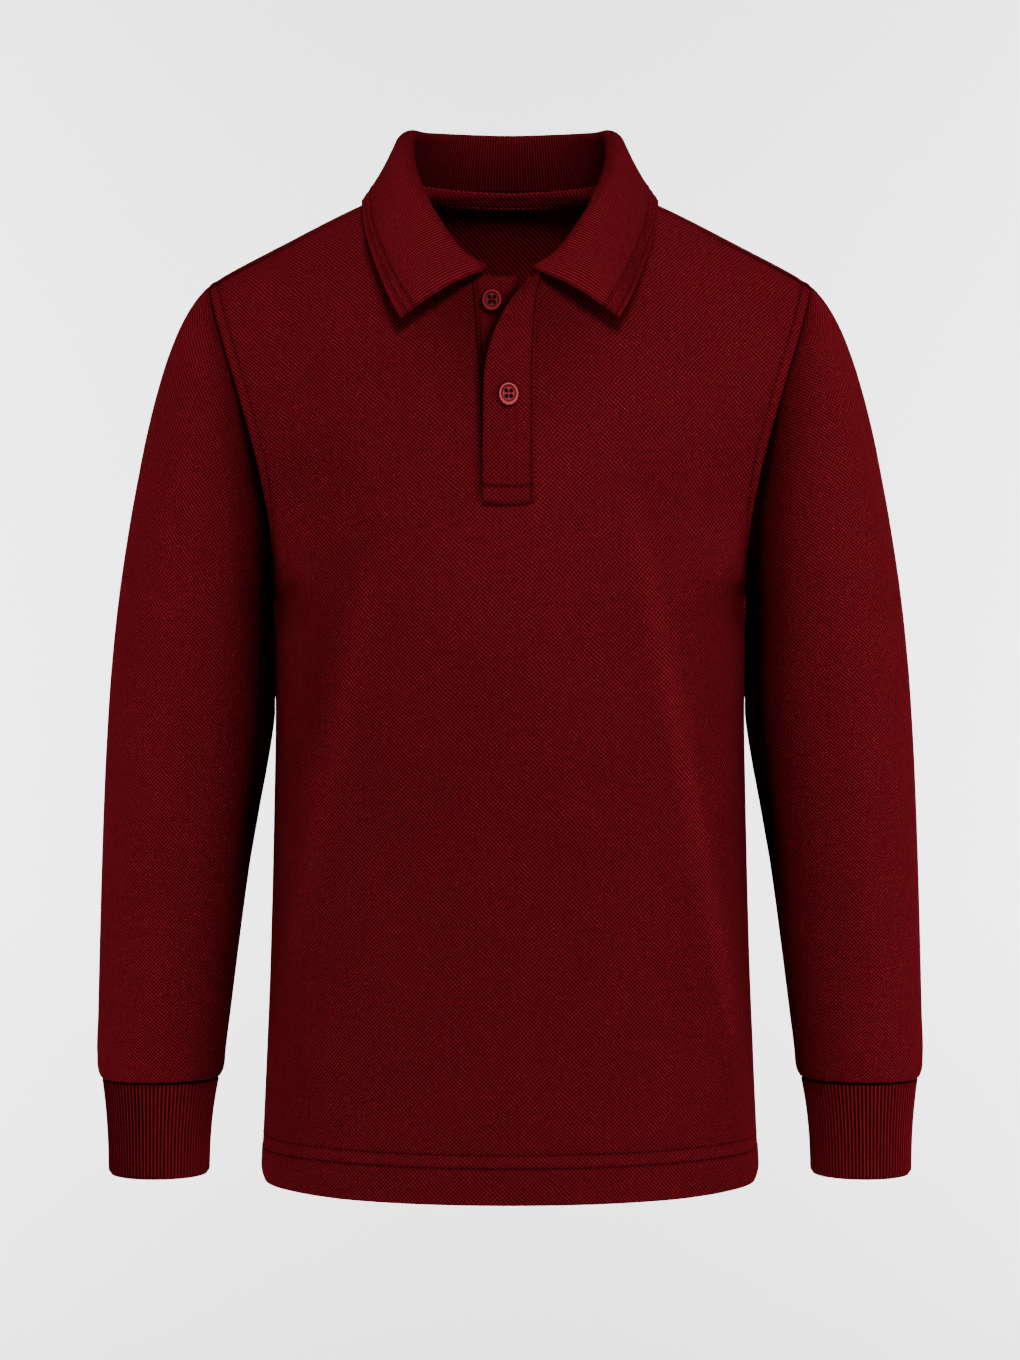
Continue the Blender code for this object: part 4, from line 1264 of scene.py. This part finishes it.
def make_cuffs():
    """The rib-knit cuffs: rounded ribs outside and in, their lower edges turned under."""
    count = CUFF_RIBS * RIB_POINTS
    rings = []
    for height in np.linspace(CUFF_RINGS[0][0], CUFF_RINGS[-1][0], CUFF_ROWS):
        near, far, depth = cuff_size(height)
        turned = -1.6 * np.clip(1.0 - (height - CUFF_RINGS[-1][0]) / 3.4, 0.0, 1.0) ** 2.5
        ring = []
        for i in range(count):
            turn = 2 * math.pi * i / count
            rib = math.cos(2 * math.pi * (i % RIB_POINTS) / RIB_POINTS)
            move = turned - RIB_HEIGHT * (0.5 - 0.5 * rib) ** 1.5
            x = (near + far) / 2 + ((far - near) / 2 + move) * math.cos(turn)
            ring.append([x, CUFF_MIDDLE - (depth + move) * math.sin(turn), height])
        rings.append(ring)
    grid = np.array(rings)
    # Painted shade between the ribs, on the side next to the body and along the top, where it is sewn on
    inner = np.clip((grid[:, :, 0].mean() - grid[:, :, 0]) / 26.0, 0.0, 1.0) ** 2
    painted_shading = 0.45 * (1.0 - np.cos(2 * math.pi * np.arange(count) / RIB_POINTS)) / 2 + 0.42 * inner
    painted_shading += 0.1 * line_at(distance_in(grid, "first_row"), 0.0, 1.2)
    widths = np.arange(count + 1) * CUFF_PITCH / MM / RIB_POINTS
    for name, side, shade in pair(grid, painted_shading):
        settings = {"closed": True, "edge": None, "widths": widths, "painted_shading": shade}
        piece = shell(f"{name}_cuff", side, CUFF_CLOTH, "cuff_rib", **settings)
        declare(piece, f"cuff_{name}")


def cuff_size(height):
    """Near and far reach and half depth of a cuff, on a smooth curve through its rings."""
    heights = [row[0] for row in CUFF_RINGS]
    share = (heights[0] - height) / (heights[0] - heights[-1])
    ease = 1.0 - (1.0 - share) ** 2.2
    first, last = CUFF_RINGS[0], CUFF_RINGS[-1]
    return [first[k] + (last[k] - first[k]) * ease for k in (1, 2, 3)]


# ---------------------------------------------------------------- the placket

EDGE_STITCH = 1.9
BOX_LINES = (0.7, 9.6)  # up from the placket's lower end
OVER_STRIP_HEIGHT = 1.85  # its outer side over the front's
UNDER_SEAM_LINE = 2.3  # in from the lower strip's sewn edge
# name, place in the front view (x, z) and half length
BUTTONHOLES = (("top", 10.4, -61.0, 2.0), ("lower", -0.7, -112.0, 8.2))


def eased_column(table, value, index):
    """A column of a table at one value, on a smooth curve through its rows."""
    places = np.array([row[0] for row in table])
    values = np.array([row[index] for row in table])
    slopes = np.gradient(values, places)
    i = int(np.clip(np.searchsorted(places, value) - 1, 0, len(places) - 2))
    step = places[i + 1] - places[i]
    t = (value - places[i]) / step
    return hermite(t, values[i], slopes[i] * step, values[i + 1], slopes[i + 1] * step)


def front_line(front, places, share):
    """The row of the fine front at a share of the height from the underarm to the neckline."""
    shares = np.interp(places - len(LOWER_ROWS), range(len(front_rows())), front_rows())
    start = int(np.searchsorted(places, len(LOWER_ROWS)))
    return between_rows(front[start:], shares[start:], share)


def button_shade(grid, name):
    """The painted shadow that a button casts on its strip, more of it below and to the left."""
    x, height, _ = BUTTONS[name]
    away = np.hypot((grid[:, :, 0] - x + 0.5) / BUTTON_OVAL, grid[:, :, 2] - height + 0.6)
    return 0.8 * line_at(away, BUTTON_RADIUS, 1.1)


def make_over_strip(front, places):
    """The strip over the slot, whose open edge and top corner stand off the front."""
    rows, spread = [], np.linspace(0.0, 1.0, 27)
    for share in np.linspace(OVER_STRIP[0][0], OVER_STRIP[-1][0], 96):
        free, sewn = (eased_column(OVER_STRIP, share, k) for k in (1, 2))
        points = across(front_line(front, places, share), free + (sewn - free) * spread)
        points[:, 1] -= 1.0 * (1.0 - spread) ** 3
        points[:, 1] -= OVER_STRIP_LIFT * max(0.0, (share - 0.6) / 0.4) ** 2 * (1.0 - spread) ** 2
        rows.append(points)
    grid = np.array(rows)
    sewn, foot = distance_in(grid, "last_column"), distance_in(grid, "first_row")
    free, top = distance_in(grid, "first_column"), distance_in(grid, "last_row")
    lift = OVER_STRIP_HEIGHT + rolled_in(sewn, 3.6, 1.6) + rolled_in(foot, 2.0, 1.3)
    lift += rolled_in(free, 1.2, 0.5) + rolled_in(top, 1.5, 0.5) + groove(top, 3.2, 1.2, 0.35)
    lift += groove(sewn, EDGE_STITCH, 0.7, 0.25) + sum(groove(foot, line, 0.8, 0.35) for line in BOX_LINES)
    # Painted shade in the grooves of the edge's and the box's rows of stitches
    painted_shading = 0.45 * line_at(sewn, EDGE_STITCH, 0.6) + 0.6 * sum(line_at(foot, line, 0.7) for line in BOX_LINES)
    # Painted shade all over, and more of it towards the collar, whose shadow falls there
    painted_shading += 0.07 + 0.14 * np.clip(1.0 - top / 45.0, 0.0, 1.0) + button_shade(grid, "button_lower")
    grid = moved_out(grid, lift)
    piece = shell("placket_over_strip", grid, STRIP_CLOTH, "pique", edge=0.4, painted_shading=painted_shading)
    box = [[part[2:-2] for part in line_in(grid, "first_row", line)] for line in BOX_LINES]
    box.append(line_in(grid, "last_column", EDGE_STITCH))
    sewn_on = [
        stitches("placket_stitches", [line_in(grid, "last_row", 2.6)]),
        stitches("placket_box_stitches", box, material="thread_painted_shade"),
        *buttonholes(grid),
    ]
    declare(piece, "placket_over", stitching=sewn_on)
    return grid


def make_under_strip(front, places):
    """The strip in the slot, level with the front and sewn to the slot's left side."""
    middle = len(panel_columns()) - 1
    coarse_rows = np.arange(len(FRONT_GRID), dtype=float)
    rows, upper_strip_shadow, spread = [], [], np.linspace(0.0, 1.0, 34)
    for share in np.linspace(SLOT_FOOT + 0.005, 1.0, 84):
        left = front_line(FRONT_GRID, coarse_rows, share)[middle - 1, 0]
        xs = left + SEAM_GAP + 0.15 + UNDER_STRIP_WIDTH * spread
        rows.append(across(front_line(front, places, share), xs))
        free = eased_column(OVER_STRIP, min(share, OVER_STRIP[-1][0]), 1)
        # Painted shadow of the upper strip's free edge
        upper_strip_shadow.append(line_at(np.maximum(free - xs, 0.0), 0.0, 4.5))
    grid = np.array(rows)
    seam, free = (distance_in(grid, edge) for edge in SIDE_EDGES)
    top = distance_in(grid, "last_row")
    relief = rolled_in(seam, 1.5, 0.7) + groove(seam, UNDER_SEAM_LINE, 0.6, 0.45)
    relief += rolled_in(free, 1.5, 0.6) + rolled_in(top, 1.5, 0.5)
    # A few puckers fan out from under the top button's seam
    relief += 0.22 * np.sin(seam * 0.9) * np.exp(-top / 12.0)
    grid = moved_out(grid, relief)
    # Painted shade all over, painted shadow under the upper strip, and painted shade along its seam
    painted_shading = 0.24 + button_shade(grid, "button_top") + 0.7 * np.array(upper_strip_shadow)
    painted_shading += 0.7 * line_at(seam, 0.0, 0.8) + 0.5 * line_at(seam, UNDER_SEAM_LINE, 0.6)
    piece = shell("placket_under_strip", grid, STRIP_CLOTH, "pique", edge=0.4, painted_shading=painted_shading)
    declare(piece, "placket_under")
    return grid


def place_on(grid, x, height):
    """The point of a strip nearest to a place in the front view, and its outward direction."""
    away = np.hypot(grid[:, :, 0] - x, grid[:, :, 2] - height)
    weights = 1.0 / (away + 0.5) ** 4
    weights /= weights.sum()
    normal = unit((normals_of(grid) * weights[:, :, None]).sum(axis=(0, 1)))
    near = grid.reshape(-1, 3)[away.argmin()]
    y = near[1] - (normal[0] * (x - near[0]) + normal[2] * (height - near[2])) / normal[1]
    return np.array([x, y, height]), normal


def buttonholes(grid):
    """The worked edges of the two buttonholes: close stitches each side of a slit."""
    made = []
    for name, x, height, reach in BUTTONHOLES:
        lines = []
        for side in (-0.45, 0.45):
            found = [place_on(grid, x + side, height + up) for up in np.linspace(-reach, reach, 12)]
            lines.append([np.array(part) for part in zip(*found)])
        made.append(stitches(f"buttonhole_{name}", lines, length=0.9, gap=0.05, radius=0.3))
    return made


# ---------------------------------------------------------------- the collar and the neck tape

COLLAR_COLUMNS = 260
# The radius of the fold, for each row of the collar's sections
COLLAR_ROLLS = (2.6, 3.2, 4.4, 5.0, 4.4, 3.4, 2.8, 2.3, 2.0)
# In from the outer edge, on the wearer's right and left
COLLAR_GROOVES = {"right": (4.3, 9.0), "left": (2.7, 5.9, 9.4)}


TAPE_REACH = 52.0  # to each side of the middle
TAPE_RISE = 12.0  # how far the line it lies on is drawn up the collar's stand
TAPE_EDGE = 0.9  # its rows of stitches lie this far in


def collar_line(base, fold, edge, bow, roll):
    """The middle of the cloth from the neck seam, up the stand, over the fold and down the fall."""
    to_base, to_edge = unit(base - fold), unit(edge - fold)
    up = -unit(to_base + to_edge)
    outward = unit(to_edge - up * to_edge.dot(up))
    radius = min(roll, 0.35 * np.linalg.norm(base - fold))
    turn = fold - up * radius
    inner, outer = turn - outward * radius, turn + outward * radius
    points = [base + (inner - base) * share for share in np.linspace(0.0, 1.0, 16)[:-1]]
    for angle in np.linspace(math.pi, 0.0, 10):
        points.append(turn + (outward * math.cos(angle) + up * math.sin(angle)) * radius)
    belly = unit(outward + up)
    for share in np.linspace(0.0, 1.0, 60)[1:]:
        points.append(outer + (edge - outer) * share + belly * bow * math.sin(math.pi * share))
    return points


def make_collar():
    angles, folds, edges, bows = (np.array(values) for values in zip(*COLLAR_SECTIONS))
    bases = np.array([neck_point(angle) + np.array([0.0, 0.0, COLLAR_BASE_LIFT]) for angle in angles])
    lines = []
    for at in np.linspace(0.0, len(angles) - 1, COLLAR_COLUMNS // 2 + 1):
        base, fold, edge = (smooth_between(rows, at) for rows in (bases, folds, edges))
        bow, roll = (np.interp(at, range(len(bows)), values) for values in (bows, COLLAR_ROLLS))
        lines.append(collar_line(base, fold, edge, bow, roll))
    half = np.array(lines)
    grid = np.concatenate([half[:0:-1], mirrored(half)], axis=0).transpose(1, 0, 2)
    up, rim = distance_in(grid, "first_row"), distance_in(grid, "last_row")
    fold = np.take_along_axis(up, grid[:, :, 2].argmax(axis=0)[None, :], axis=0)
    relief = RIB_CLOTH / 2 + rolled_in(up, 2.0, 0.4)
    # Painted shade on the stand below the fold, and painted light on the fall and along its rim
    painted_shading = 0.66 * np.clip(1.0 - up / (1.15 * fold), 0.0, 1.0) ** 0.7
    painted_shading -= 0.16 * fade(rim, 9.5, 0.6) + 0.12 * np.clip((up - fold) / 6.0, 0.0, 1.0)
    # The two tone-on-tone lines, grooves with painted shade in them, are fainter at the back
    level = 0.35 + 0.65 * fade(grid[:, :, 1], -18.0, 6.0)
    for side, lines in COLLAR_GROOVES.items():
        here = (grid[:, :, 0] < 0.0) == (side == "right")
        relief += here * level * sum(groove(rim, line, 0.75, 0.8) for line in lines)
        painted_shading += here * level * sum(0.75 * line_at(rim, line, 0.6) for line in lines)
    grid = moved_out(grid, relief)
    piece = shell("rib_collar", grid, RIB_CLOTH, "rib", edge=0.45, even=True, painted_shading=painted_shading)
    declare(piece, "collar")


def stand_direction(x):
    """The way that the collar's stand rises from the back of the neck, at a distance from the middle."""
    rows = [(neck_point(angle), np.array(fold)) for angle, fold, _, _ in COLLAR_SECTIONS[:4]]
    places = [base[0] for base, _ in rows]
    ways = np.array([unit(fold - base) for base, fold in rows])
    way = at_place(abs(x), places, ways)
    return unit(way * np.array([math.copysign(1.0, x), 1.0, 1.0]))


def make_tape(back):
    """The neck tape, over the seam of the collar on the inside of the back."""
    middle = np.abs(back[-1, :, 0]).argmin()
    reach = int(np.searchsorted(-back[-1, middle:, 0], TAPE_REACH))
    inner = back - normals_of(back) * (CLOTH + 2 * SEAM_GAP)
    lines = []
    for c in range(middle - reach, middle + reach + 1):
        line = inner[::-1, c]
        aside = (line[0, 0] / 46.0) ** 2
        down = np.concatenate([[-TAPE_RISE], run_along(line)])
        line = np.concatenate([line[:1] + TAPE_RISE * stand_direction(line[0, 0]), line])
        places = np.linspace(TAPE_WIDTH - 3.2 - 2.4 * aside, -2.2 - 3.6 * aside, 16)
        lines.append([at_place(place, down, line) for place in places])
    # It faces the front of the shirt
    grid = np.array(lines).transpose(1, 0, 2)[:, ::-1]
    # The seam under it pushes its middle out, so it has no corner there
    low = distance_in(grid, "first_row")
    wide = low[-1:]
    edge = np.minimum(low, distance_in(grid, "last_row"))
    crown = 0.6 * np.sin(math.pi * np.clip(low / wide, 0.0, 1.0)) + 2.4 * (1.0 - low / wide)
    grid = moved_out(grid, TAPE_CLOTH + crown + groove(edge, TAPE_EDGE, 0.6, 0.3))
    piece = shell("neck_tape_strip", grid, TAPE_CLOTH, "tape", edge=0.3)
    lines = [line_in(grid, edge, TAPE_EDGE) for edge in ("first_row", "last_row")]
    sewn = stitches("tape_stitches", lines, material="thread_painted_highlight")
    declare(piece, "neck_tape", stitching=[sewn])


# ---------------------------------------------------------------- buttons

BUTTON_RADIUS = 5.75
BUTTON_OVAL = 0.84  # width for its height, as seen in the front view
# The steps in from the rim: how far in, and how far up or down
BUTTON_FACE = ((0.25, 0.55), (0.45, 0.30), (0.55, 0.0), (0.40, -0.35), (0.30, -0.15), (0.50, 0.0))
BUTTON_HOLE = {"radius": 1.18, "apart": 1.45}
BUTTON_HALF = 0.4  # half the thickness of the blank
# The painted shade in the dish, a dark ring: distances from the middle, how dark
BUTTON_DISH_SHADE = ((3.2, 3.6, 4.5, 4.9), (0.60, 0.92, 0.92, 0.0))
BUTTON_LIFT = 1.05  # the middle of the blank over the strip


def pick_face(piece, height, facing):
    """Selects the one face of a piece that is at this height and faces up or down."""
    bpy.ops.object.mode_set(mode="OBJECT")
    for face in piece.data.polygons:
        face.select = abs(face.center[2] - height * MM) < 1e-6 and face.normal[2] * facing > 0.9
    bpy.ops.object.mode_set(mode="EDIT")


def button_blank(name):
    """A turned button lying on its back: a raised rim and a dished face."""
    bpy.ops.object.select_all(action="DESELECT")
    bpy.ops.mesh.primitive_cylinder_add(
        vertices=48, radius=BUTTON_RADIUS * MM, depth=2 * BUTTON_HALF * MM, location=(0.0, 0.0, 0.0)
    )
    piece = bpy.context.active_object
    piece.name = name
    bpy.ops.object.mode_set(mode="EDIT")
    bpy.ops.mesh.select_mode(type="FACE")
    pick_face(piece, BUTTON_HALF, 1.0)
    for step, rise in BUTTON_FACE:
        bpy.ops.mesh.inset(thickness=step * MM, depth=rise * MM)
    bpy.ops.mesh.inset(thickness=1.2 * MM, depth=-0.1 * MM)
    pick_face(piece, -BUTTON_HALF, -1.0)
    bpy.ops.mesh.inset(thickness=0.8 * MM, depth=0.55 * MM)
    bpy.ops.object.mode_set(mode="OBJECT")
    return piece


def pierce(piece):
    """Four holes sunk far into the button, lined with a near-black material as painted shade."""
    apart = BUTTON_HOLE["apart"] * MM
    size = {"vertices": 20, "radius": BUTTON_HOLE["radius"] * MM, "depth": 2.4 * MM}
    cut = {"operation": "DIFFERENCE", "solver": "EXACT", "material_mode": "TRANSFER"}
    for x in (-apart, apart):
        for y in (-apart, apart):
            bpy.ops.object.select_all(action="DESELECT")
            bpy.ops.mesh.primitive_cylinder_add(location=(x, y, 1.1 * MM), **size)
            pin = bpy.context.active_object
            pin.data.materials.append(MATERIALS["button_hole"])
            with_modifier(piece, "BOOLEAN", object=pin, **cut)
            bpy.data.objects.remove(pin, do_unlink=True)


def thread_cross(name, crossed):
    """The threads that hold a button: pairs over the bridges between its holes."""
    lines = []
    reach = BUTTON_HOLE["apart"] + 0.3
    ends = [(0.06, -1, -0.06, 1)]
    if crossed:
        ends.append((-1, -0.08, 1, 0.08))
    for x0, y0, x1, y1 in ends:
        for aside in (-0.2, 0.2):
            start, end = np.array([x0, y0, 0.0]) * reach, np.array([x1, y1, 0.0]) * reach
            side = unit(np.cross(end - start, [0.0, 0.0, 1.0])) * aside
            path = []
            for share in np.linspace(0.0, 1.0, 9):
                rise = 0.95 + 0.35 * math.sin(math.pi * share) - 1.6 * (abs(share - 0.5) * 2) ** 6
                path.append(start + (end - start) * share + side + np.array([0.0, 0.0, rise]))
            lines.append(path)
    curve = bpy.data.curves.new(name, "CURVE")
    curve.dimensions = "3D"
    curve.bevel_depth, curve.bevel_resolution, curve.use_fill_caps = 0.18 * MM, 3, True
    for path in lines:
        spline = curve.splines.new("POLY")
        spline.points.add(len(path) - 1)
        for point, place in zip(spline.points, path):
            point.co = (*(np.array(place) * MM), 1.0)
    piece = placed(name, curve)
    only(piece)
    bpy.ops.object.convert(target="MESH")
    piece.data.materials.append(MATERIALS["thread" if crossed else "thread_painted_highlight"])
    piece.data.shade_smooth()
    return piece


def make_button(name, strip):
    x, height, carrier = BUTTONS[name]
    place, outward = place_on(strip, x, height)
    side = unit(np.cross(np.array([0.0, 0.0, 1.0]), outward))
    turned = np.array([side, np.cross(outward, side), outward])
    button = button_blank(f"{name}_disc")
    button.data.materials.append(MATERIALS[name])
    pierce(button)
    softened(button, 0.16, segments=3, bevelled=20, sharp=45)
    thread = thread_cross(f"{name}_thread", crossed=carrier == "under")
    radii = [math.hypot(vertex.co[0], vertex.co[1]) / MM for vertex in button.data.vertices]
    # Painted shade in the button's dish
    paint_shading(button, np.interp(radii, *BUTTON_DISH_SHADE))
    for piece in (button, thread):
        flat = np.array([vertex.co[:] for vertex in piece.data.vertices]) / MM
        flat = flat * np.array([BUTTON_OVAL, 1.0, 1.0]) + np.array([0.0, 0.0, BUTTON_LIFT])
        piece.data.vertices.foreach_set("co", ((flat @ turned + place) * MM).ravel())
        piece.data.update()
        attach(piece, "root")
    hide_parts(name)


# ---------------------------------------------------------------- the shirt

FRONT_GRID = slanted_to_the_placket(with_foot_row(whole_panel("front")))


def main():
    add_camera()
    add_lamps()
    add_room()
    front, places = make_front()
    back = make_back()
    over = make_over_strip(front, places)
    under = make_under_strip(front, places)
    make_tape(back)
    make_collar()
    make_sleeves()
    make_cuffs()
    for name, (_, _, carrier) in BUTTONS.items():
        make_button(name, over if carrier == "over" else under)


main()
